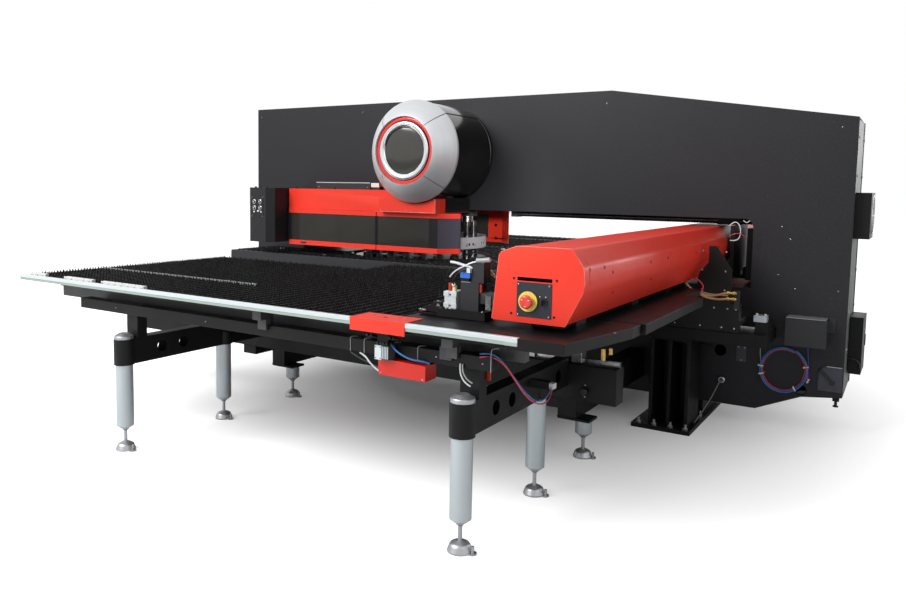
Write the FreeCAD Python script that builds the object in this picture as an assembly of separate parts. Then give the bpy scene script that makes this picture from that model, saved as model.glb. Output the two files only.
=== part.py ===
import FreeCAD, Part
import math
import os

# Turret punch press, millimetres. X runs along the frame towards its rear end,
# Y runs across the frame (near side is negative), Z is up, floor at Z = 0.
# The origin is on the floor in the frame's middle plane.

Vec = FreeCAD.Vector
os.makedirs("parts", exist_ok=True)

# ---- driving dimensions -------------------------------------------------
near, far = -1, 1
seat_gap = 0.3                 # between pieces that move past each other
shaft_clearance = 0.05         # radial, running fits

table_top = 1020.0             # steel surface of the flat table plates
brush_deck_top = 1004.0        # surface that carries the brush strips
plate_depth = 50.0             # table plates and their edges
pass_line = 1038.0             # underside of the sheet
brush_tip = pass_line - 2.0
brush_width = 14.0
brush_pitch = 62.0

frame_half = 300.0             # outer faces of the two side plates
side_plate = 40.0
frame_left, frame_right = -2710.0, 2575.0
frame_bottom, frame_top = 130.0, 2376.0
peak_x, rear_top = 935.0, 2125.0
heel_start, heel_mid, heel_height = 2042.0, 2329.0, 257.0
rear_bottom = 285.0
jack_bottom = 218.0            # transport jack screw under the rear end
web_thickness = 30.0
web_inset = 4.0
throat_left, throat_right = -2100.0, 1973.0
throat_floor = table_top - plate_depth
throat_ceiling = 1445.0
throat_radius = 60.0
liner_setback = 120.0          # inner webs behind the throat's rear edge
ceiling_rise = 30.0            # ceiling web above the side plates' edge

ram_x = -450.0
track_radius = 490.0           # stations on the turret
turret_radius = 600.0
turret_thickness = 100.0
turret_gap = 40.0              # turret to notch in the side plates
upper_turret_bottom = 1100.0
lower_turret_bottom = 905.0
well_floor = 765.0
station_count = 18
tool_radius = 36.0
ram_radius = 50.0
ram_travel = 35.0

travel_x = 1480.0              # gantry, towards the turret
cover_half = 3000.0            # cover's end caps
cover_sheet = 4.0
cover_bottom = 1055.0
cover_top = 1385.0
beam_left, beam_right = 1420.0, 1700.0
beam_bottom, beam_top = 1062.0, 1320.0
beam_wall = 12.0
carriage_reach = 1515.0        # clamp carriage, each way from the middle
clamp_places = (-2870.0, -1950.0, -1030.0)
jaw_opening = 6.4              # thickest sheet
jaw_tip = 930.0

table_left = -2000.0
table_front = 3160.0           # distance of the near edge from the middle plane
table_inner = 1000.0
deck_thickness = 12.0
recess_right = -500.0          # left of this the side tables' brushes stop further out
recess_inner = 1420.0
strap_left, strap_thickness = -1950.0, 35.0
edge_bar_line, edge_bar_bottom = 2905.0, 860.0
brush_right = 900.0
edge_right = 1528.0            # end of the aluminium edge profile
plate_right = 1785.0
plate_flare = 1890.0
fixed_left = -2500.0
fixed_front = 870.0
fixed_right = 1150.0
fixed_apron = 35.0             # skirt under the fixed tables' outer edges

leg_x = (-1087.0, 1280.0)
leg_rows = (3090.0, 2290.0, 1580.0)
leg_radius = 50.8
leg_tip, leg_shoulder = 123.0, 152.0
stem_radius = 10.0
foot_radius, foot_height = 58.0, 56.0
sleeve_radius = 60.0
arm_bottom, arm_top = 530.0, 688.0
arm_width = 80.0
box_beam_bottom, box_beam_top = 250.0, 450.0
box_beam_offset, box_beam_width = -80.0, 124.0
box_beam_front = 1655.0
rail_beam_line, rail_beam_width = 1900.0, 120.0
rail_beam_top = 655.0
rail_beam_left, rail_beam_right = -2350.0, 1600.0
front_beam_line, front_beam_width = 3020.0, 80.0
front_beam_bottom, front_beam_top = 830.0, 893.0
front_beam_left, front_beam_right = -1560.0, 1400.0
rail_height, rail_width = 30.0, 26.0
block_height, block_length, block_width = 60.0, 95.0, 70.0
table_blocks = (-650.0, -350.0, 1055.0, 1340.0)
guide_places = (50.0, 1210.0)

ledge_bottom, ledge_top = 640.0, 720.0
ledge_left, ledge_right = -450.0, 2155.0
ledge_reach = 750.0
ledge_rail_line = 600.0
truck_left, truck_right = 1300.0, 2030.0
truck_web_out, truck_web_in = 965.0, 900.0

screw_z = 1420.0
screw_radius = 25.0
screw_left = 60.0
nut_radius = 32.0
cross_screw_x, cross_screw_z, cross_screw_radius = 1398.0, 1228.0, 9.5

base_left, base_right = 1329.0, 1725.0
base_reach = 795.0
base_thickness = 30.0
anchor_inset, anchor_edge, anchor_radius = 40.0, 30.0, 9.0
front_base_left, front_base_right = -2300.0, -1700.0

guard_left, guard_right = -1850.0, -275.0
guard_line = 780.0
guard_depth = 16.0
guard_bottom, window_bottom, window_top, lip_top, hood_top = 1104.0, 1145.0, 1385.0, 1425.0, 1602.0
guard_split = -878.0
guard_end_run = 130.0          # the angled end, along X and along Y
far_guard_right = -497.0
near_end_width, far_end_width = 42.0, 155.0   # closed part of each guard's front at its end
sheet = 4.0

motor_z = 1910.0
motor_radius = 403.0
motor_reach = 890.0
cone_depth, cone_front_radius = 150.0, 264.0
lens_radius, lens_ring = 175.0, 225.0


# ---- helpers ------------------------------------------------------------
def box(x, y, z):
    low = Vec(min(x), min(y), min(z))
    return Part.makeBox(abs(x[1] - x[0]), abs(y[1] - y[0]), abs(z[1] - z[0]), low)


def rod(x, y, z, radius, length, axis="z"):
    direction = {"x": Vec(1, 0, 0), "y": Vec(0, 1, 0), "z": Vec(0, 0, 1)}[axis]
    return Part.makeCylinder(radius, length, Vec(x, y, z), direction)


def tube(x, y, z, outer, inner, length, axis="z"):
    return rod(x, y, z, outer, length, axis).cut(rod(x, y, z, inner, length, axis))


def wire(points, place):
    """Closed outline of (a, b) or (a, b, corner radius) points."""
    count = len(points)
    corners = []
    for i, point in enumerate(points):
        here = place(point[0], point[1])
        radius = point[2] if len(point) > 2 else 0.0
        if radius == 0.0:
            corners.append((here, here, here))
            continue
        before = place(*points[i - 1][:2])
        after = place(*points[(i + 1) % count][:2])
        back = (before - here).normalize()
        ahead = (after - here).normalize()
        half = back.getAngle(ahead) / 2.0
        leg = radius / math.tan(half)
        bisector = (back + ahead).normalize()
        middle = here + bisector * (radius / math.sin(half) - radius)
        corners.append((here + back * leg, middle, here + ahead * leg))
    edges = []
    for i, (start, middle, end) in enumerate(corners):
        if (end - start).Length > 1e-6:
            edges.append(Part.Arc(start, middle, end).toShape())
        following = corners[(i + 1) % count][0]
        if (following - end).Length > 1e-6:
            edges.append(Part.LineSegment(end, following).toShape())
    return Part.Wire(edges)


def along_y(points, y0, y1):
    """Outline in the XZ plane, carried from y0 to y1."""
    face = Part.Face(wire(points, lambda a, b: Vec(a, min(y0, y1), b)))
    return face.extrude(Vec(0, abs(y1 - y0), 0))


def along_x(points, x0, x1):
    face = Part.Face(wire(points, lambda a, b: Vec(min(x0, x1), a, b)))
    return face.extrude(Vec(abs(x1 - x0), 0, 0))


def along_z(points, z0, z1):
    face = Part.Face(wire(points, lambda a, b: Vec(a, b, min(z0, z1))))
    return face.extrude(Vec(0, 0, abs(z1 - z0)))


def turned(profile, x, y):
    """Profile of (radius, z) points turned about a vertical line."""
    face = Part.Face(wire(profile, lambda a, b: Vec(x + a, y, b)))
    return face.revolve(Vec(x, y, 0), Vec(0, 0, 1), 360)


def turned_y(profile, x, z):
    """Profile of (radius, y) points turned about a line along Y."""
    face = Part.Face(wire(profile, lambda a, b: Vec(x + a, b, z)))
    return face.revolve(Vec(x, 0, z), Vec(0, 1, 0), 360)


def joined(*shapes):
    return shapes[0].fuse(list(shapes[1:])).removeSplitter()


def mirrored(shape, side=far):
    """The shape itself on the near side, its mirror image on the far side."""
    return shape if side == near else shape.mirror(Vec(0, 0, 0), Vec(0, 1, 0))


def both(shape):
    return [shape, mirrored(shape)]


def save(name, *shapes):
    solids = [solid for shape in shapes for solid in shape.Solids]
    whole = solids[0] if len(solids) == 1 else Part.makeCompound(solids)
    whole.exportStep("parts/" + name + ".step")


def route(points, radius):
    """Round hose through points, with tangent arcs at its turns."""
    edges = []
    start = points[0]
    for before, here, after in zip(points, points[1:], points[2:]):
        back = (before - here)
        ahead = (after - here)
        run = min(back.Length, ahead.Length)
        back.normalize()
        ahead.normalize()
        half = back.getAngle(ahead) / 2.0
        leg = 0.45 * run
        bend = leg * math.tan(half)
        print("bend radius", round(bend))
        middle = here + (back + ahead).normalize() * (bend / math.sin(half) - bend)
        entry = here + back * leg
        leave = here + ahead * leg
        edges.append(Part.LineSegment(start, entry).toShape())
        edges.append(Part.Arc(entry, middle, leave).toShape())
        start = leave
    edges.append(Part.LineSegment(start, points[-1]).toShape())
    path = Part.Wire(edges)
    section = Part.Wire(Part.makeCircle(radius, points[0], points[1] - points[0]))
    hose = path.makePipeShell([section], True, True)
    print("hose", round(hose.Volume / (math.pi * radius ** 2 * path.Length), 4), round(path.Length))
    return hose


# ---- frame --------------------------------------------------------------
frame_outline = [
    (frame_left, frame_bottom), (frame_left, frame_top), (peak_x, frame_top),
    (frame_right, rear_top), (frame_right, rear_bottom),
    (heel_mid, heel_height), (heel_start, frame_bottom),
]
turret_x = ram_x - track_radius
notch_left = turret_x - turret_radius - turret_gap
notch_right = turret_x + turret_radius + turret_gap
notch_floor = well_floor + 15.0
throat_outline = [
    (throat_left, throat_floor), (notch_left, throat_floor), (notch_left, notch_floor),
    (notch_right, notch_floor), (notch_right, throat_floor), (throat_right, throat_floor),
    (throat_right, throat_ceiling, throat_radius), (throat_left, throat_ceiling, throat_radius),
]
cable_holes = ((1795.0, 511.0, 40.0), (2322.0, 303.0, 36.0))
gland_place = (1818.0, 304.0)
cable_radius = 4.0
earth_route = [
    (1818.0, -322.0, 304.0), (1818.0, -350.0, 304.0), (1813.0, -374.0, 290.0), (1803.0, -388.0, 262.0),
    (1788.0, -399.0, 222.0), (1767.0, -418.0, 170.0), (1745.0, -447.0, 124.0), (1727.0, -483.0, 85.0),
    (1713.0, -524.0, 56.0), (1705.0, -566.0, 36.0), (1705.0, -596.0, 36.0),
]


def inset(points, distance):
    """The outline moved inwards; its points run clockwise seen from -Y."""
    moved = []
    count = len(points)
    for i in range(count):
        a = Vec(*points[i - 1], 0)
        b = Vec(*points[i], 0)
        c = Vec(*points[(i + 1) % count], 0)
        first = (b - a).normalize()
        second = (c - b).normalize()
        inward = Vec(first.y, -first.x, 0) + Vec(second.y, -second.x, 0)
        turn = 1.0 + first.dot(second)
        moved.append((b.x + inward.x * distance / turn, b.y + inward.y * distance / turn))
    return moved


def side_plates():
    inner = frame_half - side_plate
    plate = along_y(frame_outline, -frame_half, -inner)
    plate = plate.cut(along_y(throat_outline, -frame_half, -inner))
    save("frame_side_plate_far", mirrored(plate))
    for x, z, radius in cable_holes:
        plate = plate.cut(rod(x, -frame_half, z, radius, side_plate, "y"))
    save("frame_side_plate_near", plate)


def frame_webs():
    inner = frame_half - side_plate
    outside = inset(frame_outline, web_inset)
    inside = inset(frame_outline, web_inset + web_thickness)
    webs = []
    for i in range(len(outside)):
        k = (i + 1) % len(outside)
        webs.append(along_y([outside[i], outside[k], inside[k], inside[i]], -inner, inner))
    save("frame_outer_webs", *webs)
    y = (-inner, inner)
    ceiling = throat_ceiling + ceiling_rise
    liner_x = throat_right + liner_setback
    floor = (throat_floor - web_thickness, throat_floor)
    well_wall = (well_floor, throat_floor - web_thickness)
    save("frame_inner_webs",
         box((throat_left - liner_setback, head_left), y, (ceiling, ceiling + web_thickness)),
         box((head_right, liner_x), y, (ceiling, ceiling + web_thickness)),
         box((liner_x, liner_x + web_thickness), y, (well_floor, ceiling + web_thickness)),
         box((throat_left, notch_left), y, floor),
         box((notch_right, liner_x), y, floor),
         box((notch_left - web_thickness, notch_left), y, well_wall),
         box((notch_right, notch_right + web_thickness), y, well_wall),
         box((notch_left - web_thickness, notch_right + web_thickness), y,
             (well_floor - web_thickness, well_floor)))


head_left, head_right = ram_x - 200.0, ram_x + 200.0
bearing_radius = 150.0
shaft_radius = 80.0
bearing_bottom = 1400.0


def head_and_bearings():
    inner = frame_half - side_plate
    ceiling = throat_ceiling + ceiling_rise
    block = box((head_left, head_right), (-inner, inner), (ceiling, frame_top - 2 * web_thickness))
    sleeve = rod(ram_x, 0, throat_ceiling - 60, ram_radius + 35, 60 + ceiling_rise)
    bore = rod(ram_x, 0, throat_ceiling - 60, ram_radius + shaft_clearance, 500)
    save("bearing_housings", joined(block, sleeve).cut(bore),
         tube(turret_x, 0, bearing_bottom, bearing_radius, shaft_radius + shaft_clearance,
              ceiling - bearing_bottom),
         tube(turret_x, 0, well_floor, bearing_radius, shaft_radius + shaft_clearance, 50),
         *screw_bearings(ceiling))
    top = tool_top + 1.5
    save("punch_ram", rod(ram_x, 0, top, ram_radius, 420))


def screw_bearings(ceiling):
    """The bearings of the gantry's ball screw hang from the ceiling web."""
    half = screw_radius + 20
    front = box((screw_left - 60, screw_left), (-half, half), (screw_z - 28, ceiling))
    rear = box((throat_right + 20, throat_right + 70), (-half, half), (screw_z - 40, ceiling))
    bore = rod(screw_left - 40, 0, screw_z, screw_radius + shaft_clearance,
               throat_right - screw_left + 200, "x")
    return front.cut(bore), rear.cut(bore)


# ---- turrets and tooling ------------------------------------------------
tool_top = 1330.0
tool_bottom = upper_turret_bottom - 52.0
punch_tip_radius = 10.0
die_top = pass_line - 2.0
lower_turret_top = lower_turret_bottom + turret_thickness


def stations(skip_active):
    first = 1 if skip_active else 0
    for i in range(first, station_count):
        angle = 2.0 * math.pi * i / station_count
        yield turret_x + track_radius * math.cos(angle), track_radius * math.sin(angle)


def turrets():
    top = upper_turret_bottom + turret_thickness
    disc = rod(turret_x, 0, upper_turret_bottom, turret_radius, turret_thickness)
    disc = disc.cut(rod(turret_x, 0, top - 12, turret_radius - 30, 12))
    bores = [rod(x, y, upper_turret_bottom, tool_radius + seat_gap, turret_thickness)
             for x, y in stations(False)]
    rim_holes = []
    for i in range(2 * station_count):
        hole = rod(turret_x + turret_radius - 25, 0, upper_turret_bottom + 32, 13, 30, "x")
        hole.rotate(Vec(turret_x, 0, 0), Vec(0, 0, 1), (i + 0.5) * 180.0 / station_count)
        rim_holes.append(hole)
    disc = disc.cut(bores).cut(rim_holes)
    save("upper_turret", disc,
         joined(rod(turret_x, 0, top - 12, 200, 40),
                rod(turret_x, 0, top, shaft_radius, throat_ceiling + ceiling_rise - top - 1)))
    tool = [(0, tool_bottom), (tool_radius, tool_bottom), (tool_radius, top + 15), (16, top + 15),
            (16, tool_top - 40), (24, tool_top - 40), (24, tool_top), (0, tool_top)]
    driver_radius = 14.0
    sleeve = tube(ram_x, 0, tool_bottom, tool_radius, driver_radius + seat_gap, top + 15 - tool_bottom)
    save("turret_tools", sleeve, *[turned(tool, x, y) for x, y in stations(True)])
    punch = [(0, tool_bottom + 6), (punch_tip_radius, tool_bottom + 6),
             (punch_tip_radius, tool_bottom + 60), (driver_radius, tool_bottom + 60),
             (driver_radius, tool_top - 40), (24, tool_top - 40), (24, tool_top), (0, tool_top)]
    save("active_punch", turned(punch, ram_x, 0))
    lower = joined(rod(turret_x, 0, lower_turret_bottom, turret_radius, turret_thickness),
                   rod(turret_x, 0, well_floor + 60, 180, lower_turret_bottom - well_floor - 60),
                   rod(turret_x, 0, well_floor + 1, shaft_radius, 60))
    die_hole = rod(ram_x, 0, lower_turret_bottom, punch_tip_radius + 6, turret_thickness)
    lower = lower.cut(die_hole)
    dies = [rod(x, y, lower_turret_top, 40, die_top - lower_turret_top) for x, y in stations(True)]
    active = tube(ram_x, 0, lower_turret_top, 40, punch_tip_radius + seat_gap,
                  die_top - lower_turret_top)
    save("lower_turret", lower, active, *dies)


# ---- turret guard -------------------------------------------------------
hinge_x, hinge_y = guard_left, -(guard_line + 8.0)
door_left = guard_left + 12.0
pin_radius, lug_radius, lug_height = 5.0, 7.7, 6.0
door_gap = 3.0
drum_clearance = 6.0


def angled_run(start_x, front, depth, z0, z1):
    """The guard's end, which turns back at 45 degrees."""
    run = guard_end_run
    return along_z([(start_x, -front), (start_x + run, -front + run),
                    (start_x + run, -front + run + depth * 1.414), (start_x, -front + depth * 1.414)],
                   z0, z1)


def guard_body(side):
    front = (-guard_line - guard_depth, -guard_line)
    start = guard_split + door_gap if side == near else door_left
    end = guard_right if side == near else far_guard_right
    face = -guard_line
    parts = [
        box((guard_left - 5, end), (face, face + sheet), (lip_top + 0.5, hood_top)),
        box((guard_left - 5, end), (face, -frame_half), (hood_top - sheet, hood_top)),
        box((guard_left - 5, guard_left - 1), (face, -frame_half), (lip_top + 0.5, hood_top)),
        box((end - sheet, end), (face, -frame_half), (lip_top + 0.5, hood_top)),
        box((start, end), (front[0], face + sheet), (window_top, lip_top + 0.5)),
        box((start, end), front, (guard_bottom, window_bottom)),
        angled_run(end, guard_line + guard_depth, guard_depth, guard_bottom, window_bottom),
        angled_run(end, guard_line + guard_depth, guard_depth, window_top, lip_top),
        box((start, start + 14), (face - 9, face - 3), (window_bottom, window_top)),
    ]
    if side == far:
        return joined(*parts, *end_panel(end, far_end_width))
    drum = rod(ram_x, -motor_reach, motor_z, motor_radius + drum_clearance, motor_reach, "y")
    return joined(*parts).cut(drum)


def end_panel(end, width):
    """The closed part of a guard, at its end and round the corner."""
    face = -guard_line
    return (box((end - width, end), (face - 12, face - 2), (window_bottom, window_top)),
            angled_run(end, guard_line + 12, 8, window_bottom, window_top))


def guards():
    save("turret_guards", guard_body(near), mirrored(guard_body(far)))
    face = -guard_line
    pane = (face - 8, face - 4)
    z = (window_bottom, window_top)
    save("guard_windows", joined(*end_panel(guard_right, near_end_width)),
         box((guard_split + door_gap + 14, guard_right - near_end_width), pane, z),
         mirrored(box((door_left + 14, far_guard_right - far_end_width), pane, z)))
    band = (face - guard_depth, face)
    door = joined(
        box((door_left, guard_split), band, (window_top, lip_top)),
        box((door_left, guard_split), band, (guard_bottom, window_bottom)),
        box((door_left, door_left + 14), (face - 10, face), z),
        box((guard_split - 14, guard_split), (face - 10, face), z),
        rod(hinge_x, hinge_y, lower_lug - 3, pin_radius, lip_top + lug_height + 3 - lower_lug),
        box((hinge_x, door_left), (hinge_y - 3, hinge_y + 3), (lower_lug + lug_height + 0.5, lip_top)))
    save("guard_door", door, box((door_left + 14, guard_split - 14), pane, z))


control_left, control_right = -2115.0, -1868.0
control_front = 1008.0
control_bottom, control_top = 1125.0, 1605.0
lower_lug = control_bottom + 6.0
control_chamfer = 58.0
button_places = ((-2060.0, 1480.0), (-1990.0, 1480.0), (-2060.0, 1425.0), (-1990.0, 1425.0))
button_radius, button_travel = 14.0, 5.0


def control_box():
    front = -control_front
    body = along_z([(control_left, front), (control_right - control_chamfer, front),
                    (control_right, front + control_chamfer),
                    (control_right, -frame_half), (control_left, -frame_half)],
                   control_bottom, control_top)
    for x, z in button_places:
        body = body.cut(rod(x, front, z, button_radius - 4 + seat_gap, 30, "y"))
    lugs = []
    for z in (lower_lug, lip_top + 0.5):
        lug = joined(box((control_right, hinge_x), (hinge_y - lug_radius, hinge_y + lug_radius), (z, z + lug_height)),
                     rod(hinge_x, hinge_y, z, lug_radius, lug_height))
        lugs.append(lug.cut(rod(hinge_x, hinge_y, z, pin_radius + shaft_clearance, lug_height)))
    save("turret_control_box", joined(body, *lugs))
    for i, (x, z) in enumerate(button_places, 1):
        cap = joined(rod(x, front - 16, z, button_radius, 8, "y"),
                     rod(x, front - 8, z, button_radius - 4, 8 + 20, "y"))
        save("control_button_%d" % i, cap)


def motor_cover():
    centre = (ram_x, motor_z)
    r, y = motor_radius, -motor_reach
    tip = y - cone_depth
    save("motor_drum", turned_y([(0, -frame_half), (r - 8, -frame_half), (r - 8, y + 20), (0, y + 20)],
                                *centre))
    save("motor_cone_ring", turned_y(
        [(cone_front_radius, tip), (r - 6, y - 6), (r, y), (r, y + 20), (0, y + 20), (0, y + 8),
         (r - 40, y + 8), (cone_front_radius, tip + 20)], *centre))
    red_ring = turned_y(
        [(lens_ring, tip + 10), (cone_front_radius, tip + 2), (cone_front_radius, tip + 20),
         (r - 40, y + 8), (0, y + 8), (0, y - 20), (lens_ring, y - 20)], *centre)
    lens = turned_y(
        [(0, tip + 8), (lens_radius, tip + 8), (lens_radius + 10, tip), (lens_ring, tip + 6),
         (lens_ring, y - 20), (0, y - 20)], *centre)
    save("motor_nose", red_ring, lens)
    step = box((ram_x - 360, ram_x + 188), (-852, -guard_line - guard_depth), (lip_top, lip_top + 115))
    step = joined(step, box((ram_x - 360, ram_x + 188), (-guard_line - guard_depth, -guard_line),
                            (lip_top + 0.5, lip_top + 115)))
    save("motor_step_cover", step.cut(rod(ram_x, -motor_reach, motor_z, r + drum_clearance, 500, "y")))


# ---- fixed tables, base and ledges --------------------------------------
def fixed_tables():
    hole = rod(turret_x, 0, throat_floor, turret_radius + 20, plate_depth)
    plate = box((fixed_left, fixed_right), (-fixed_front, -frame_half), (throat_floor, table_top))
    plate = plate.cut(hole)
    apron = box((fixed_left, recess_right), (-fixed_front, -fixed_front + 30),
                (throat_floor - fixed_apron, throat_floor))
    inner = frame_half
    save("fixed_tables", *both(plate), *both(apron),
         box((throat_left, notch_left), (-inner, inner), (throat_floor, table_top)),
         box((notch_right, fixed_right), (-inner, inner), (throat_floor, table_top)))
    strips = []
    x = fixed_left + brush_pitch
    while x < brush_right - brush_width:
        reach = turret_radius + 40
        offset = min(abs(x - turret_x), abs(x + brush_width - turret_x))
        start = frame_half + 20
        if offset < reach:
            start = max(start, math.sqrt(reach ** 2 - offset ** 2))
        strip = box((x, x + brush_width), (-fixed_front + 20, -start), (table_top, brush_tip))
        strips += both(strip)
        if x > notch_right:
            strips.append(box((x, x + brush_width), (-start + 20, start - 20), (table_top, brush_tip)))
        x += brush_pitch
    save("fixed_table_brushes", *strips)


def ledges():
    body = box((ledge_left, ledge_right), (-ledge_reach, -frame_half), (ledge_bottom, ledge_top))
    stop_left = truck_right + 50
    body = joined(body, box((stop_left, ledge_right), (-700, -500), (ledge_top, ledge_top + 80)))
    rail = box((ledge_left + 20, stop_left), (-ledge_rail_line - rail_width / 2,
               -ledge_rail_line + rail_width / 2), (ledge_top, ledge_top + rail_height))
    table_rail = box((rail_beam_left + 20, rail_beam_right),
                     (-rail_beam_line - rail_width / 2, -rail_beam_line + rail_width / 2),
                     (rail_beam_top, rail_beam_top + rail_height))
    save("guide_rails", *both(rail), *both(table_rail))
    web = 24.0
    x0, x1 = base_left + 95, base_right - 35
    y0, y1 = -ledge_reach + 30, -frame_half - 110
    head = ledge_bottom - web
    plates = [box((x0, x1), (y0, y1), (head, ledge_bottom)),
              box((x0, x1), (y1 - web, y1), (base_thickness, head))]
    for x in (x0, (x0 + x1 - web) / 2, x1 - web):
        plates.append(box((x, x + web), (y0, y1 - web), (base_thickness, head)))
    stand = [solid for plate in plates for solid in both(plate)]
    save("gantry_ledges", *both(body), *stand)
    under = (base_thickness, frame_bottom)
    nut_x, nut_y = frame_right - 38, -frame_half + side_plate / 2
    nut = box((nut_x - 20, nut_x + 20), (nut_y - 14, nut_y + 14), (heel_height, rear_bottom + 10))
    nut = nut.cut(along_y(frame_outline, -frame_half, frame_half))
    jack = joined(nut, rod(nut_x, nut_y, jack_bottom, 9, heel_height + 10 - jack_bottom),
                  rod(nut_x, nut_y, jack_bottom, 17, 8))
    end = earth_route[-1]
    plate = box((base_left, base_right), (-base_reach, base_reach), (0, base_thickness))
    for x in (base_left + anchor_inset, base_right - anchor_inset):
        for y in (-base_reach + anchor_edge, base_reach - anchor_edge):
            plate = plate.cut(rod(x, y, 0, anchor_radius, base_thickness))
    save("floor_plates", plate,
         box((front_base_left, front_base_right), (-frame_half, frame_half), (0, base_thickness)),
         box((base_left + 60, base_right - 30), (-frame_half, frame_half), under),
         box((front_base_left + 60, front_base_right - 60), (-frame_half + 30, frame_half - 30), under),
         jack,
         box((end[0] - 9, end[0] + 9), (end[1] - 24, end[1]), (base_thickness, base_thickness + 12)))


# ---- table supports -----------------------------------------------------
def leg_group(side):
    tubes, stems, feet, caps = [], [], [], []
    tops = (arm_top, arm_bottom, box_beam_bottom - 15)
    for x in leg_x:
        for row, top in zip(leg_rows, tops):
            y = -row
            inner = stem_radius + 4
            tubes.append(turned([(0, leg_tip), (inner, leg_tip), (leg_radius, leg_shoulder),
                                 (leg_radius, top), (0, top)], x, y))
            stems.append(rod(x, y, foot_height - 4, stem_radius, leg_tip - foot_height + 4))
            dome = turned([(0, 0), (foot_radius, 0), (foot_radius, 8), (foot_radius * 0.8, 38, 25),
                           (18, foot_height - 4), (0, foot_height - 4)], x, y)
            tab = along_z([(x + 30, y - 22), (x + 84, y - 22, 21), (x + 84, y + 22, 21), (x + 30, y + 22)],
                          0, 8)
            feet.append(joined(dome, tab, rod(x + 66, y, 8, 7, 30)))
        cap = turned([(0, arm_top), (sleeve_radius - 2, arm_top), (sleeve_radius - 4, arm_top + 18, 10),
                      (30, arm_top + 34), (0, arm_top + 34)], x, -leg_rows[0])
        caps.append(cap)
    return [[mirrored(s, side) for s in group] for group in (tubes, stems, feet, caps)]


def supports():
    groups = [leg_group(near), leg_group(far)]
    save("leg_tubes", *groups[0][0], *groups[1][0])
    save("leg_hardware", *[solid for group in groups for kind in group[1:] for solid in kind])
    arms, boxes, posts = [], [], []
    beam_back = rail_beam_line - rail_beam_width / 2
    for x in leg_x:
        y0, y1 = -leg_rows[0], -rail_beam_line - rail_beam_width / 2
        arm = joined(box((x - arm_width / 2, x + arm_width / 2), (y0, y1), (arm_bottom, arm_top)),
                     rod(x, y0, arm_bottom, sleeve_radius, arm_top - arm_bottom),
                     rod(x, -leg_rows[1], arm_bottom, sleeve_radius, 90))
        arm = arm.cut(rod(x, y0, arm_bottom, leg_radius + seat_gap, arm_top - arm_bottom))
        middle = (arm_bottom + arm_top) / 2
        for y in (y0 + 250, y0 + 420, y0 + 990):
            arm = arm.cut(rod(x - arm_width, y, middle, 36, 2 * arm_width, "x"))
        arms += both(arm)
        left = x + box_beam_offset - box_beam_width / 2
        boxes += both(box((left, left + box_beam_width), (-box_beam_front, -frame_half),
                          (box_beam_bottom, box_beam_top)))
        boxes += both(box((left, x + leg_radius + 12), (-box_beam_front, -leg_rows[2] + leg_radius + 12),
                          (box_beam_bottom - 15, box_beam_bottom)))
        boxes += both(box((left, left + box_beam_width), (-rail_beam_line - 60, -box_beam_front),
                          (box_beam_top - 60, box_beam_top)))
        post_back = leg_rows[0] - sleeve_radius
        posts += both(box((x - 50, x + 50), (-post_back, -post_back + 70), (arm_top, front_beam_bottom)))
    save("support_arms", *arms, *posts)
    save("box_beams", *boxes)
    half = rail_beam_width / 2
    beam = box((rail_beam_left, rail_beam_right), (-rail_beam_line - half, -rail_beam_line + half),
               (box_beam_top, rail_beam_top))
    half = front_beam_width / 2
    front_beam = box((front_beam_left, front_beam_right), (-front_beam_line - half, -front_beam_line + half),
               (front_beam_bottom, front_beam_top))
    save("table_guide_beams", *both(beam), *both(front_beam))


# ---- gantry with its side tables ----------------------------------------
def bearing_block(x, line, rail_top, height):
    """A block that straddles a rail, with a running gap all round."""
    block = box((x - block_length / 2, x + block_length / 2), (-line - block_width / 2, -line + block_width / 2),
                (rail_top - rail_height + 5, rail_top + height))
    slot = box((x - block_length, x + block_length),
               (-line - rail_width / 2 - seat_gap, -line + rail_width / 2 + seat_gap),
               (rail_top - rail_height, rail_top + seat_gap))
    return block.cut(slot)


gauge_x, gauge_line = 866.0, table_front - 60.0
gauge_back = table_front - 130.0
gauge_pin_radius, gauge_hole_radius = 12.0, 14.0
strap_bottom = table_top - plate_depth - 12.0
cross_bars = (-1900.0, -1150.0, -400.0, 350.0, 820.0)
bar_width = 50.0


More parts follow.
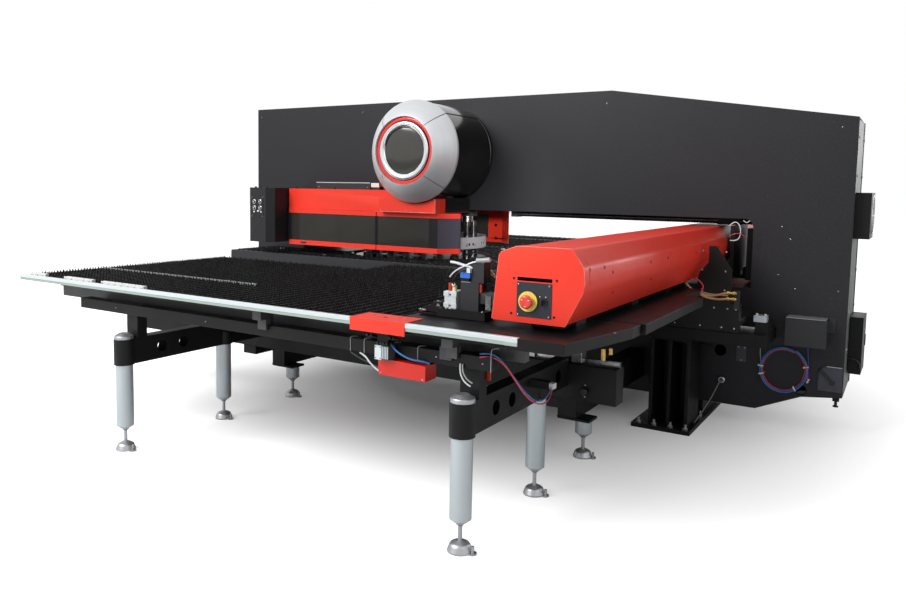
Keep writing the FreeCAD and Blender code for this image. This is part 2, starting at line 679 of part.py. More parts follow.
def side_table(side):
    """Deck plates for the brushes on a grid of bars; each plate and bar lies on the next."""
    deck_bottom = brush_deck_top - deck_thickness
    deck = (deck_bottom, brush_deck_top)
    bar_bottom = deck_bottom - 57
    straps = (bar_bottom - strap_thickness, bar_bottom)
    rail_top = rail_beam_top + rail_height
    block_top = rail_top + block_height - 25
    outer = front_beam_line + front_beam_width / 2
    main = box((table_left, brush_right), (-table_front, -recess_inner), deck)
    if side == near:
        main = main.cut(rod(gauge_x, -gauge_line, deck_bottom, gauge_hole_radius, deck_thickness))
    parts = [
        main,
        box((recess_right, brush_right), (-recess_inner, -table_inner), deck),
        box((strap_left, brush_right), (-rail_beam_line - 40, -rail_beam_line + 40), straps),
        box((brush_right, 1600), (-rail_beam_line - 40, -rail_beam_line + 40), (straps[0], strap_bottom)),
        box((strap_left, 1500), (-edge_bar_line - 25, -edge_bar_line + 25), (edge_bar_bottom, bar_bottom)),
    ]
    for x in cross_bars:
        inner = table_inner if x > recess_right else recess_inner
        parts.append(box((x, x + bar_width), (-edge_bar_line - 75, -inner), (bar_bottom, deck_bottom)))
    for x in table_blocks:
        parts.append(box((x - 40, x + 40), (-rail_beam_line - 40, -rail_beam_line + 40), (block_top, straps[0])))
    for x in guide_places:
        top = deck_bottom if x < brush_right else table_top - plate_depth
        shelf = front_beam_top + 32
        parts.append(box((x - 30, x + 30), (-outer - 60, -outer + 35), (shelf, top)))
        parts.append(box((x - 30, x + 30), (-outer - 20, -outer - 3), (870, shelf)))
        parts.append(box((x - 30, x + 30), (-outer + 5, -outer + 35), (front_beam_top + seat_gap, shelf)))
    if side == near:
        shim = box((gauge_left, brush_right), (-table_front, -gauge_back), (brush_deck_top, table_top))
        parts.append(shim.cut(rod(gauge_x, -gauge_line, brush_deck_top, gauge_hole_radius,
                                  table_top - brush_deck_top)))
    return [mirrored(part, side) for part in parts]


def table_blocks_group():
    rail_top = rail_beam_top + rail_height
    blocks = []
    for x in table_blocks:
        blocks += both(bearing_block(x, rail_beam_line, rail_top, block_height - 25))
    for x in (truck_left + 100, truck_right - 100):
        top = ledge_top + rail_height
        blocks += both(bearing_block(x, ledge_rail_line, top, truck_plate_bottom - top))
    save("rail_bearing_blocks", *blocks)


truck_plate_bottom = 800.0


def brush_fields():
    strips = []
    x = table_left + 20
    while x < brush_right - brush_width - 5:
        over_gauge = gauge_left - 5 < x + brush_width and x < gauge_right + 5
        front = table_front - 14
        inner = 10 + (table_inner if x > recess_right else recess_inner)
        height = (brush_deck_top, brush_tip)
        strips.append(box((x, x + brush_width), (-gauge_back + 30 if over_gauge else -front, -inner), height))
        strips.append(box((x, x + brush_width), (inner, front), height))
        x += brush_pitch
    save("side_table_brushes", *strips)


def flat_plates():
    z = (table_top - plate_depth, table_top)
    front = -table_front - 20
    bend = -2640.0
    gap = 10.0
    first_back, second_back = -2520.0, -1400.0
    plates = joined(
        along_z([(edge_right, front), (plate_right, front), (plate_flare, bend), (plate_flare, first_back),
                 (brush_right, first_back), (brush_right, -table_front), (edge_right, -table_front)], *z),
        box((brush_right, plate_flare + 20), (first_back + gap, second_back), z),
        box((brush_right, plate_flare - 90), (second_back, -table_inner), z),
        box((brush_right + 20, plate_flare - 100), (-2900, -table_inner - 80), (strap_bottom, z[0])))
    return plates


gauge_left, gauge_right = 716.0, 1026.0


def table_edges():
    front = -table_front
    section = [(front, table_top + 2), (front - 10, table_top + 2), (front - 24, table_top - 8),
               (front - 24, table_top - 34), (front, table_top - 34)]
    left = table_left - 35
    save("table_edge_profiles",
         along_x(section, left, gauge_left - 1), along_x(section, gauge_right + 1, edge_right),
         mirrored(along_x(section, left, edge_right)))
    save("flat_plates", *both(flat_plates()))


cover_outline = [
    (1366.0, cover_bottom, 10.0), (1398.0, 1354.0, 22.0), (1484.0, cover_top, 40.0),
    (1737.0, cover_top, 20.0), (1787.0, 1310.0, 60.0), (1797.0, 1222.0, 120.0), (1712.0, cover_bottom, 4.0),
]
cover_centre, cover_half_size = (1580.0, 1215.0), (210.0, 165.0)
cover_slot_top = 1245.0


def cover_inside(x, z, radius):
    """A point of the cover's inner face for a point of its outline."""
    return (cover_centre[0] + (x - cover_centre[0]) * (1.0 - cover_sheet / cover_half_size[0]),
            cover_centre[1] + (z - cover_centre[1]) * (1.0 - cover_sheet / cover_half_size[1]), radius)


def carriage_cover():
    length = cover_half - cover_sheet
    outer = along_y(cover_outline, -length, length)
    inner = along_y([cover_inside(*point) for point in cover_outline], -length, length)
    shell = outer.cut(inner)
    shell = shell.cut(box((1300, 1760), (-length, length), (cover_bottom - 5, cover_bottom + 8)))
    shell = shell.cut(box((1300, 1420), (-length, length), (cover_bottom - 5, cover_slot_top)))
    shell = shell.cut(box((1650, 1850), (-58, 58), (cover_bottom - 5, 1135)))
    end = along_y(cover_outline, -cover_half, -length)
    slot_bottom = control_plate_z[1] + 5
    slot = box(control_plate_x, (-cover_half, -length), (slot_bottom, slot_bottom + 16))
    near_end = end.cut(slot)
    save("carriage_cover", shell, near_end, mirrored(end))


control_plate_x = (1488.0, 1650.0)
control_plate_z = (1082.0, 1232.0)
estop_place = (1545.0, 1150.0)
selector_place = (1612.0, 1152.0)


def cover_controls():
    y = -cover_half
    thickness = 3.0
    plate = box(control_plate_x, (y - thickness, y), control_plate_z)
    collar = rod(estop_place[0], y - thickness - 10, estop_place[1], 44, 10, "y")
    boss = rod(selector_place[0], y - thickness - 4, selector_place[1], 15, 4, "y")
    for place, radius in ((estop_place, 11 + seat_gap), (selector_place, 7 + seat_gap)):
        bore = rod(place[0], y - 20, place[1], radius, 20, "y")
        plate = plate.cut(bore)
        collar = collar.cut(bore)
        boss = boss.cut(bore)
    save("cover_control_plate", joined(plate, boss), collar)
    head = turned_y([(0, y - 40), (24, y - 40, 6), (30, y - 32), (30, y - 22), (11, y - 22),
                     (11, y - 6.5), (0, y - 6.5)], *estop_place)
    save("estop_button", head)
    knob = joined(rod(selector_place[0], y - 16, selector_place[1], 13, 8.5, "y"),
                  rod(selector_place[0], y - 8, selector_place[1], 7, 7.5, "y"),
                  box((selector_place[0] - 4, selector_place[0] + 4), (y - 28, y - 16),
                      (selector_place[1] - 13, selector_place[1] + 13)))
    save("selector_knob", knob)


bracket_left = 1815.0
rail_depth = 14.0              # carriage rails on the beam's left face
saddle_bottom, saddle_top = 1085.0, 1212.0


def gantry_structure():
    span = cover_half - 50
    beam = box((beam_left, beam_right), (-span, span), (beam_bottom, beam_top))
    w = beam_wall
    beam = beam.cut(box((beam_left + w, beam_right - w), (-span, span), (beam_bottom + w, beam_top - w)))
    risers = []
    for y in (-2700.0, -1900.0, -1250.0):
        risers += both(box((beam_left + 30, beam_right - 30), (y - 60, y + 60), (table_top, beam_bottom)))
        top = cover_inside(0, cover_top, 0)[1]
        risers += both(box((beam_left + 100, beam_right - 10), (y - 15, y + 15), (beam_top, top)))
    rails = [box((beam_left - rail_depth, beam_left), (-span, span), (z, z + 15))
             for z in (saddle_bottom + 10, saddle_top - 27)]
    save("gantry_beam", beam, *risers, *rails)
    out, inn = -truck_web_out, -truck_web_in
    truck = (box((truck_left, truck_right), (out, inn), (760, 935)),
             box((beam_left + 20, beam_right - 10), (out, inn), (935, beam_bottom)),
             box((truck_left, truck_right), (inn, -430), (truck_plate_bottom, truck_plate_bottom + 40)))
    bracket = joined(
        box((bracket_left, bracket_left + 28), (-240, 240), (1068, 1392)),
        box((beam_right, bracket_left), (-50, 50), (1068, 1120)),
        box((1680, bracket_left + 28), (-nut_radius, nut_radius), (1392, screw_z + 25)))
    bracket = bracket.cut(rod(1600, 0, screw_z, screw_radius + shaft_clearance, 300, "x"))
    gusset = along_y([(1775, 985), (1975, 985), (1975, 1150), (1877, 1292), (1836, 1292), (1838, 1190),
                      (1784, 1123), (1775, 1085)], out - 10, out + 20)
    foot = box((1700, 1975), (out - 10, -905), (935, 985))
    ends = []
    for y in (-span + 10, span - 34):
        end = box((cross_screw_x - 8, beam_left), (y, y + 24), (cross_screw_z - 14, cross_screw_z + 14))
        ends.append(end.cut(rod(cross_screw_x, y, cross_screw_z, cross_screw_radius + shaft_clearance, 24, "y")))
    plates = [solid for plate in (*truck, gusset, foot) for solid in both(plate)]
    save("gantry_trucks", *plates, bracket, *ends)


def ball_screws():
    x0, x1 = screw_left - 38, throat_right + liner_setback - 1
    save("gantry_ball_screw", rod(x0, 0, screw_z, screw_radius, x1 - x0, "x"))
    half = cover_half - 55
    save("cross_ball_screw", rod(cross_screw_x, -half, cross_screw_z, cross_screw_radius, 2 * half, "y"))


# ---- clamp carriage -----------------------------------------------------
saddle_left = 1378.0
saddle_right = beam_left - rail_depth - seat_gap
jaw_pivot = (1050.0, 1052.0)
lower_jaw_top = pass_line - 2.0


def clamp_carriage():
    start = -cover_half + 70
    stop = start + 2 * (cover_half - 70 - carriage_reach)
    saddle = box((saddle_left, saddle_right), (start, stop), (saddle_bottom, saddle_top))
    middle = (start + stop) / 2
    nut = tube(cross_screw_x, middle - 30, cross_screw_z, 12.5, cross_screw_radius + shaft_clearance,
               60, "y")
    hanger = box((cross_screw_x - 6, saddle_right), (middle - 30, middle + 30), (1205, cross_screw_z - 5))
    hanger = hanger.cut(rod(cross_screw_x, middle - 30, cross_screw_z, 12, 60, "y"))
    saddle = joined(saddle, nut, hanger)
    bodies, valves = [], []
    jaw_bottom, base_top = lower_jaw_top - 12, 1064.0
    x0, base_end = 1068.0, 1290.0
    for i, y in enumerate(clamp_places, 1):
        body = joined(
            box((jaw_tip, base_end), (y - 45, y + 45), (jaw_bottom, lower_jaw_top)),
            box((jaw_pivot[0] + 8, base_end), (y - 45, y + 45), (jaw_bottom, base_top - 2)),
            box((1034, x0), (y - 52, y - 42), (jaw_bottom, base_top + 8)),
            box((1034, x0), (y + 42, y + 52), (jaw_bottom, base_top + 8)),
            box((x0, base_end), (y - 52, y + 52), (jaw_bottom, base_top)),
            box((1155, 1250), (y - 40, y + 40), (base_top, 1195)),
            box((1207, 1272), (y - 34, y + 34), (1195, 1290)),
            box((1250, saddle_left), (y - 28, y + 28), (1100, 1150)))
        body = body.cut(rod(jaw_pivot[0], y - 60, jaw_pivot[1], 5 + shaft_clearance, 120, "y"))
        bodies.append(body)
        valves.append(box((1068, 1130), (y - 40, y + 38), (base_top, 1146)))
        upper_jaw = lower_jaw_top + jaw_opening
        jaw = joined(
            box((jaw_tip, jaw_pivot[0] - 6), (y - 40, y + 40), (upper_jaw, upper_jaw + 16)),
            box((jaw_pivot[0] - 6, jaw_pivot[0]), (y - 40, y + 40), (jaw_pivot[1] - 8, jaw_pivot[1] + 6)),
            rod(jaw_pivot[0], y - 40, jaw_pivot[1], 7, 80, "y"),
            rod(jaw_pivot[0], y - 52, jaw_pivot[1], 5, 104, "y"),
            box((942, 1028), (y - 36, y + 36), (upper_jaw + 16, 1120)))
        save("clamp_jaw_%d" % i, jaw)
    save("clamp_carriage", saddle, *bodies, *valves)


# ---- end gauge on the near table ----------------------------------------
def end_gauge():
    front = -table_front - 24 + sheet
    top = table_top
    bent = joined(box((gauge_left, gauge_right), (front - sheet, -gauge_back), (top, top + sheet)),
                  box((gauge_left, gauge_right), (front - sheet, front), (962, top + sheet)))
    for x in (gauge_x - 88, gauge_x + 67):
        bent = bent.cut(box((x - 14, x + 14), (-gauge_line + 24, -gauge_line + 34), (top, top + sheet)))
    save("gauge_cover", bent.cut(rod(gauge_x, -gauge_line, top, gauge_hole_radius, sheet)))
    line = -gauge_line
    half = 34.0
    head, body_bottom, box_bottom = 950.0, 826.0, 747.0
    body = joined(box((gauge_x - 110, brush_right - 4), (line - half, line + half),
                      (head, brush_deck_top - deck_thickness)),
                  box((gauge_x - 38, gauge_x + 38), (line - half, line + half), (body_bottom, head)))
    bore = rod(gauge_x, line, body_bottom + 20, gauge_pin_radius + shaft_clearance, 200)
    save("gauge_cylinder", body.cut(bore),
         box((gauge_x - 43, gauge_x + 221), (line, line + 95), (box_bottom, body_bottom)))
    pin_bottom = body_bottom + 55
    save("gauge_pin", rod(gauge_x, line, pin_bottom, gauge_pin_radius, table_top - pin_bottom))


# ---- rear end and side fittings -----------------------------------------
fan_centre = (0.0, 1488.0)


def rear_fittings():
    end = frame_right - web_inset
    fan_y, fan_z = fan_centre
    housing = box((end, end + 95), (fan_y - 200, fan_y + 200), (fan_z - 152, fan_z + 152))
    housing = housing.cut(rod(end + 30, fan_y, fan_z, 130, 65, "x"))
    spindle = rod(end + 30, fan_y, fan_z, 8, 60, "x")
    rotor = tube(end + 40, fan_y, fan_z, 45, 8 + shaft_clearance, 40, "x")
    blades = []
    for i in range(5):
        blade = box((end + 50, end + 56), (fan_y + 42, fan_y + 122), (fan_z - 30, fan_z + 30))
        blade.rotate(Vec(end + 53, fan_y, fan_z), Vec(0, 1, 0), 28)
        blade.rotate(Vec(end, fan_y, fan_z), Vec(1, 0, 0), 72 * i)
        blades.append(blade)
    save("fan_rotor", joined(rotor, *blades))
    ring = tube(end + 95, fan_y, fan_z, 138, 126, 6, "x")
    bars = [tube(end + 96, fan_y, fan_z, r + 2, r - 2, 4, "x") for r in (35, 65, 95)]
    cross = [box((end + 96, end + 100), (fan_y - 128, fan_y + 128), (fan_z - 3, fan_z + 3)),
             box((end + 96, end + 100), (fan_y - 3, fan_y + 3), (fan_z - 128, fan_z + 128))]
    save("fan_box", joined(housing, spindle), joined(ring, *bars, *cross))
    end = frame_right
    y0, y1, z0, z1 = 0.0, 290.0, 395.0, 790.0
    shell = box((end, end + 70), (y0, y1), (z0, z1))
    shell = shell.cut(box((end + 6, end + 70), (y0 + 6, y1 - 6), (z0 + 6, z1 - 6)))
    save("rear_cabinet", shell)
    door = joined(box((end + 70 + seat_gap, end + 80), (y0, y1 - 4), (z0, z1)),
                  rod(end + 76 + seat_gap, y1 - 2, z0, 6, z1 - z0))
    save("rear_cabinet_door", door)
    junction = joined(box((2225, 2470), (-440, -frame_half), (622, 805)),
                      box((2470, 2512), (-frame_half - 6, -frame_half), (712, 815)))
    duct = box((-1770, -1170), (-640, -560), (hood_top, hood_top + 62))
    trunk = box((throat_right - 88, throat_right + liner_setback), (0, frame_half - side_plate),
                (throat_floor + 20, throat_ceiling - 75))
    plate = along_y([(2425, 320), (2425, 489, 70), (2569, 489), (2569, 320)],
                    -frame_half - sheet, -frame_half)
    hub = rod(isolator_place[0], -frame_half - 14, isolator_place[1], 16, 14, "y")
    shaft_hole = rod(isolator_place[0], -frame_half - 30, isolator_place[1], 6 + shaft_clearance, 30, "y")
    gland = joined(rod(gland_place[0], -frame_half - 22, gland_place[1], 16, 22, "y"),
                   rod(gland_place[0], -frame_half - 6, gland_place[1], 24, 6, "y"))
    save("side_fittings", joined(plate, hub).cut(shaft_hole), junction, duct, gland, trunk)
    y = -frame_half - 14
    lever = joined(rod(isolator_place[0], y - 12, isolator_place[1], 14, 11.5, "y"),
                   rod(isolator_place[0], y - 12, isolator_place[1], 6, 24, "y"),
                   box((isolator_place[0] - 108, isolator_place[0]), (y - 12, y - 2),
                       (isolator_place[1] - 8, isolator_place[1] + 8)))
    lever.rotate(Vec(isolator_place[0], 0, isolator_place[1]), Vec(0, 1, 0), 45)
    save("isolator_lever", lever)


isolator_place = (2512.0, 383.0)
coil_place = (2213.0, 433.0)
coil_radius = 142.0


def hoses():
    coils = []
    for i, radius in enumerate((coil_radius, coil_radius - 3)):
        line = -frame_half - 8 - seat_gap - i * (16 + seat_gap)
        ring = Part.makeTorus(radius, 8, Vec(coil_place[0], line, coil_place[1]), Vec(0, 1, 0))
        coils.append(ring)
    save("hose_coil", *coils)
    save("earth_cable", route([Vec(*point) for point in earth_route], cable_radius))


side_plates()
frame_webs()
head_and_bearings()
turrets()
guards()
control_box()
motor_cover()
fixed_tables()
ledges()
supports()
save("side_tables", *side_table(near), *side_table(far))
table_blocks_group()
brush_fields()
table_edges()
carriage_cover()
cover_controls()
gantry_structure()
ball_screws()
clamp_carriage()
end_gauge()
rear_fittings()
hoses()
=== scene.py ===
import math
import random

import bmesh
import bpy
from mathutils import Matrix, Vector


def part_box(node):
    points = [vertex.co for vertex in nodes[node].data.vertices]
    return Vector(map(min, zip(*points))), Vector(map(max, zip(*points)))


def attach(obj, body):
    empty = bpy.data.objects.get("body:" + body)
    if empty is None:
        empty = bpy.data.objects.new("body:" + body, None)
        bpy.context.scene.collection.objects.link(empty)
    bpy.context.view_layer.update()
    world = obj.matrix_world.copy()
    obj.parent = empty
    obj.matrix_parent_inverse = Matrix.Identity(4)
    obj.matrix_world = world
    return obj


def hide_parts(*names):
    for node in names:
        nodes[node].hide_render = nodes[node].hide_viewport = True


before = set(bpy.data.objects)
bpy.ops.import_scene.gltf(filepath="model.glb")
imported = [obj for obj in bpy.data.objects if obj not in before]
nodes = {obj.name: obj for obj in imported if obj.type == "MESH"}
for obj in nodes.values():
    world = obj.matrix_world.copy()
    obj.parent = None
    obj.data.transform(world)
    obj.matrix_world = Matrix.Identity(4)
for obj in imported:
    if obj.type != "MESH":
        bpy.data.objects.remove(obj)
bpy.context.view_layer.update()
random.seed(12)
print("frame loaded")

view = {
    "place": (2.943, -6.042, 1.6335),
    "turn": 32.673,        # left of +Y
    "down": 4.955,
    "roll": 0.889,
    "focal": 777.63,       # in pixels of the photograph
    "centre": (421.39, 254.27),
    "size": (906, 593),
}


def makeCamera():
    data = bpy.data.cameras.new("camera")
    camera = bpy.data.objects.new("camera", data)
    bpy.context.scene.collection.objects.link(camera)
    wide, high = view["size"]
    data.sensor_width = 36
    data.lens = view["focal"] / wide * 36
    data.shift_x = 0.5 - view["centre"][0] / wide
    data.shift_y = (view["centre"][1] - high / 2) / wide
    data.clip_end = 100
    turn = Matrix.Rotation(math.radians(view["turn"]), 4, "Z")
    tilt = Matrix.Rotation(math.radians(90 - view["down"]), 4, "X")
    roll = Matrix.Rotation(math.radians(view["roll"]), 4, "Z")
    camera.matrix_world = Matrix.Translation(view["place"]) @ turn @ tilt @ roll
    bpy.context.scene.camera = camera


makeCamera()


# paints and metals
def nodeTree(name):
    material = bpy.data.materials.new(name)
    material.use_nodes = True
    tree = material.node_tree
    shader = tree.nodes["Principled BSDF"]
    place = tree.nodes.new("ShaderNodeTexCoord")
    return material, tree, shader, place


def setInputs(node, values):
    for socket, value in values.items():
        node.inputs[socket].default_value = value


def noise(tree, place, scale, detail=4.0, stretch=None):
    texture = tree.nodes.new("ShaderNodeTexNoise")
    setInputs(texture, {"Scale": scale, "Detail": detail})
    source = place.outputs["Object"]
    if stretch:
        mapping = tree.nodes.new("ShaderNodeMapping")
        setInputs(mapping, {"Scale": stretch})
        tree.links.new(source, mapping.inputs["Vector"])
        source = mapping.outputs["Vector"]
    tree.links.new(source, texture.inputs["Vector"])
    return texture.outputs["Fac"]


def ramp(tree, value, low, high, start=0.3, end=0.7):
    node = tree.nodes.new("ShaderNodeMapRange")
    setInputs(node, {"From Min": start, "From Max": end, "To Min": low, "To Max": high})
    tree.links.new(value, node.inputs["Value"])
    return node.outputs["Result"]


def blendColour(tree, factor, first, second):
    mix = tree.nodes.new("ShaderNodeMix")
    mix.data_type = "RGBA"
    for socket, colour in (("A", first), ("B", second)):
        if isinstance(colour, bpy.types.NodeSocket):
            tree.links.new(colour, mix.inputs[socket])
        else:
            mix.inputs[socket].default_value = (*colour, 1)
    tree.links.new(factor, mix.inputs["Factor"])
    return mix.outputs["Result"]


def combine(tree, operation, first, second):
    node = tree.nodes.new("ShaderNodeMath")
    node.operation = operation
    tree.links.new(first, node.inputs[0])
    tree.links.new(second, node.inputs[1])
    return node.outputs[0]


paint = {"detail": 5.0, "spread": 0.12, "coatRough": 0.12, "grainDeep": 0.002, "edgeSamples": 4,
         "speckSize": 0.6, "speckFrom": 0.62, "speckTo": 0.80, "speck": (0.42, 0.42, 0.44)}


def finish(name, colour, rough=0.5, metal=0.0, vary=0.12, patch=2.5, grain=0.0, grainScale=700.0,
           coat=0.0, edge=0.0, stretch=None, shine=0.5, speck=0.0):
    material, tree, shader, place = nodeTree(name)
    darker = [c * (1 - vary) for c in colour]
    lighter = [min(1.0, c * (1 + vary)) for c in colour]
    broad = noise(tree, place, patch, paint["detail"], stretch)
    tone = blendColour(tree, ramp(tree, broad, 0, 1), darker, lighter)
    # light specks in the colour: dust, and a painted highlight for the sparkle of a textured paint
    if speck:              # dust and the sparkle of a textured paint
        fine = noise(tree, place, grainScale * paint["speckSize"], 1.0)
        tone = blendColour(tree, ramp(tree, fine, 0, speck, paint["speckFrom"], paint["speckTo"]), tone,
                           paint["speck"])
    tree.links.new(tone, shader.inputs["Base Color"])
    dull, bright = rough * (1 + paint["spread"]), rough * (1 - paint["spread"])
    tree.links.new(ramp(tree, broad, dull, bright), shader.inputs["Roughness"])
    setInputs(shader, {"Metallic": metal, "Specular IOR Level": shine, "Coat Weight": coat,
                       "Coat Roughness": paint["coatRough"]})
    normal = None
    if edge:
        bevel = tree.nodes.new("ShaderNodeBevel")
        bevel.samples = paint["edgeSamples"]
        setInputs(bevel, {"Radius": edge})
        normal = bevel.outputs["Normal"]
    if grain:
        bump = tree.nodes.new("ShaderNodeBump")
        setInputs(bump, {"Strength": grain, "Distance": paint["grainDeep"]})
        tree.links.new(noise(tree, place, grainScale, 2.0, stretch), bump.inputs["Height"])
        if normal:
            tree.links.new(normal, bump.inputs["Normal"])
        normal = bump.outputs["Normal"]
    if normal:
        tree.links.new(normal, shader.inputs["Normal"])
    return material


charcoal = finish("charcoalPaint", (0.0160, 0.0155, 0.0190), 0.46, vary=0.10, patch=0.8,
    grain=0.34, grainScale=260, shine=0.24, speck=0.06)
panelGrey = finish("panelGreyPaint", (0.055, 0.057, 0.074), 0.45, vary=0.06, patch=3,
    grain=0.1, shine=0.3)
boxGrey = finish("boxGreyPaint", (0.019, 0.020, 0.023), 0.42, vary=0.08, patch=3, grain=0.2,
    grainScale=300, shine=0.35)
rearGreen = finish("rearGreenPaint", (0.085, 0.105, 0.092), 0.45, vary=0.08, grain=0.1,
    edge=0.002, shine=0.4)
redPaint = finish("redPaint", (0.80, 0.040, 0.020), 0.34, vary=0.05, patch=3, grain=0.34,
    grainScale=190, shine=0.32)
# painted shade: the red paint darkened, a shaded copy of it for the cover's seams, the beam's tabs and the
# clamps' tags
shadedRed = finish("shadedRedPaint", (0.46, 0.022, 0.013), 0.36, vary=0.05, patch=3, grain=0.2,
    grainScale=190)
# painted highlight: a pale red for the thin lines along the cover's ends and ridge
paintedHighlightRed = finish("paintedHighlightRed", (0.86, 0.30, 0.26), 0.35, vary=0.04)
# painted shade: the red paint darkened for the gauge box under the table's edge
shadedRedGauge = finish("shadedRedGauge", (0.56, 0.012, 0.004), 0.34, vary=0.05, patch=5, grain=0.1)
blackPaint = finish("blackPaint", (0.0068, 0.0070, 0.0074), 0.42, vary=0.2, patch=4,
    grain=0.16, grainScale=300, shine=0.20)
tableBlack = finish("tableBlack", (0.0048, 0.0048, 0.0056), 0.42, vary=0.25, patch=5,
    grain=0.14, shine=0.20)
deckGrey = finish("deckGrey", (0.050, 0.050, 0.052), 0.34, vary=0.2, patch=6, grain=0.1,
    shine=0.45)
# painted shade: near-black for the walls of holes, which would otherwise render lit
holeShadeBlack = finish("holeShadeBlack", (0.0012, 0.0012, 0.0014), 0.85, vary=0.1, shine=0.05)
blackGloss = finish("blackGloss", (0.0045, 0.0045, 0.0042), 0.16, vary=0.2, patch=2, coat=0.4,
    shine=0.5, grain=0.03, grainScale=90)
glassBlack = finish("lensGlass", (0.028, 0.027, 0.022), 0.10, vary=0.12, patch=5, coat=0.5)
redGloss = finish("redGloss", (0.70, 0.030, 0.022), 0.18, vary=0.05, patch=6, coat=0.5)
greyCast = finish("greyCasting", (0.055, 0.057, 0.060), 0.55, vary=0.12, patch=6, grain=0.45,
    grainScale=220, shine=0.4)
silverPaint = finish("silverPaint", (0.48, 0.53, 0.56), 0.36, metal=0.5, vary=0.05, patch=4,
    edge=0.002, grain=0.05, grainScale=500)
spunMetal = finish("spunMetal", (0.60, 0.62, 0.64), 0.44, metal=0.45, vary=0.03, patch=2,
    grain=0.05, grainScale=60, stretch=(1, 14, 1))
bezelMetal = finish("bezelMetal", (0.74, 0.76, 0.78), 0.16, metal=1.0, vary=0.03, patch=6)
bandWhite = finish("bandWhite", (0.60, 0.66, 0.68), 0.38, metal=0.25, vary=0.03,
    patch=9, grain=0.05, stretch=(0.05, 6, 6))
bandGreen = finish("bandGreen", (0.36, 0.43, 0.39), 0.34, metal=0.35, vary=0.05,
    patch=9, stretch=(0.05, 6, 6))
turretSteel = finish("turretSteel", (0.62, 0.59, 0.62), 0.42, metal=0.5, vary=0.05, patch=8)
castSilver = finish("castSilver", (0.42, 0.43, 0.45), 0.40, metal=0.8, vary=0.10, patch=18,
    grain=0.08)
extruded = finish("extrudedMetal", (0.50, 0.54, 0.54), 0.36, metal=0.75, vary=0.05,
    patch=9, grain=0.08, stretch=(0.05, 6, 6))
groundSteel = finish("groundSteel", (0.33, 0.335, 0.345), 0.26, metal=1.0, vary=0.10,
    patch=14, grain=0.05)
toolSteel = finish("toolSteel", (0.10, 0.10, 0.105), 0.30, metal=1.0, vary=0.2, patch=20)
zincSteel = finish("zincSteel", (0.42, 0.43, 0.43), 0.26, metal=1.0, vary=0.12, patch=18,
    edge=0.001)
brass = finish("brass", (0.55, 0.36, 0.11), 0.26, metal=1.0, vary=0.12, patch=30)
bristle = finish("bristle", (0.0045, 0.0045, 0.0048), 0.48, vary=0.4, patch=30, shine=0.25)
blackPlastic = finish("blackPlastic", (0.008, 0.008, 0.008), 0.32, vary=0.1, patch=20,
    edge=0.001, shine=0.4)
fanPlastic = finish("fanPlastic", (0.010, 0.010, 0.010), 0.4, vary=0.1, patch=20, shine=0.35)
darkPlate = finish("darkPlate", (0.016, 0.020, 0.028), 0.42, vary=0.08, patch=20, shine=0.4)
redPlastic = finish("redPlastic", (0.74, 0.040, 0.026), 0.26, vary=0.04, patch=30, coat=0.3,
    edge=0.001)
yellowPlastic = finish("yellowPlastic", (0.84, 0.66, 0.10), 0.34, vary=0.05, patch=30)
creamPlastic = finish("creamPlastic", (0.78, 0.74, 0.42), 0.36, vary=0.06, patch=30)
whitePlastic = finish("whitePlastic", (0.74, 0.74, 0.72), 0.38, vary=0.05, patch=30)
bluePlastic = finish("bluePlastic", (0.02, 0.14, 0.58), 0.32, vary=0.1, patch=30)
blueTube = finish("blueTube", (0.030, 0.19, 0.50), 0.30, vary=0.1, patch=30)
darkBlueTube = finish("darkBlueTube", (0.012, 0.03, 0.16), 0.35, vary=0.1, patch=30)
redTube = finish("redTube", (0.62, 0.035, 0.06), 0.30, vary=0.1, patch=30)
greyTube = finish("greyTube", (0.30, 0.31, 0.32), 0.35, vary=0.1, patch=30)
paleTube = finish("paleTube", (0.62, 0.64, 0.66), 0.32, vary=0.06, patch=30)
blackTube = finish("blackTube", (0.007, 0.007, 0.007), 0.40, vary=0.1, patch=30, shine=0.4)
copperTube = finish("copperHose", (0.48, 0.27, 0.15), 0.38, metal=0.4, vary=0.25, patch=14)
wireGrey = finish("wireGrey", (0.22, 0.21, 0.17), 0.5, vary=0.15, patch=40)


def smokedPane(name, tint, clear):
    material, tree, shader, place = nodeTree(name)
    setInputs(shader, {"Transmission Weight": clear, "IOR": 1.35})
    cloudy = noise(tree, place, 3.5)
    tone = blendColour(tree, ramp(tree, cloudy, 0, 1), [c * 0.85 for c in tint], tint)
    tree.links.new(tone, shader.inputs["Base Color"])
    tree.links.new(ramp(tree, cloudy, 0.05, 0.12), shader.inputs["Roughness"])
    return material


smoked = smokedPane("smokedPane", (0.050, 0.048, 0.042), 0.35)
smokedSide = smokedPane("smokedSidePane", (0.085, 0.080, 0.105), 0.25)
print("materials")

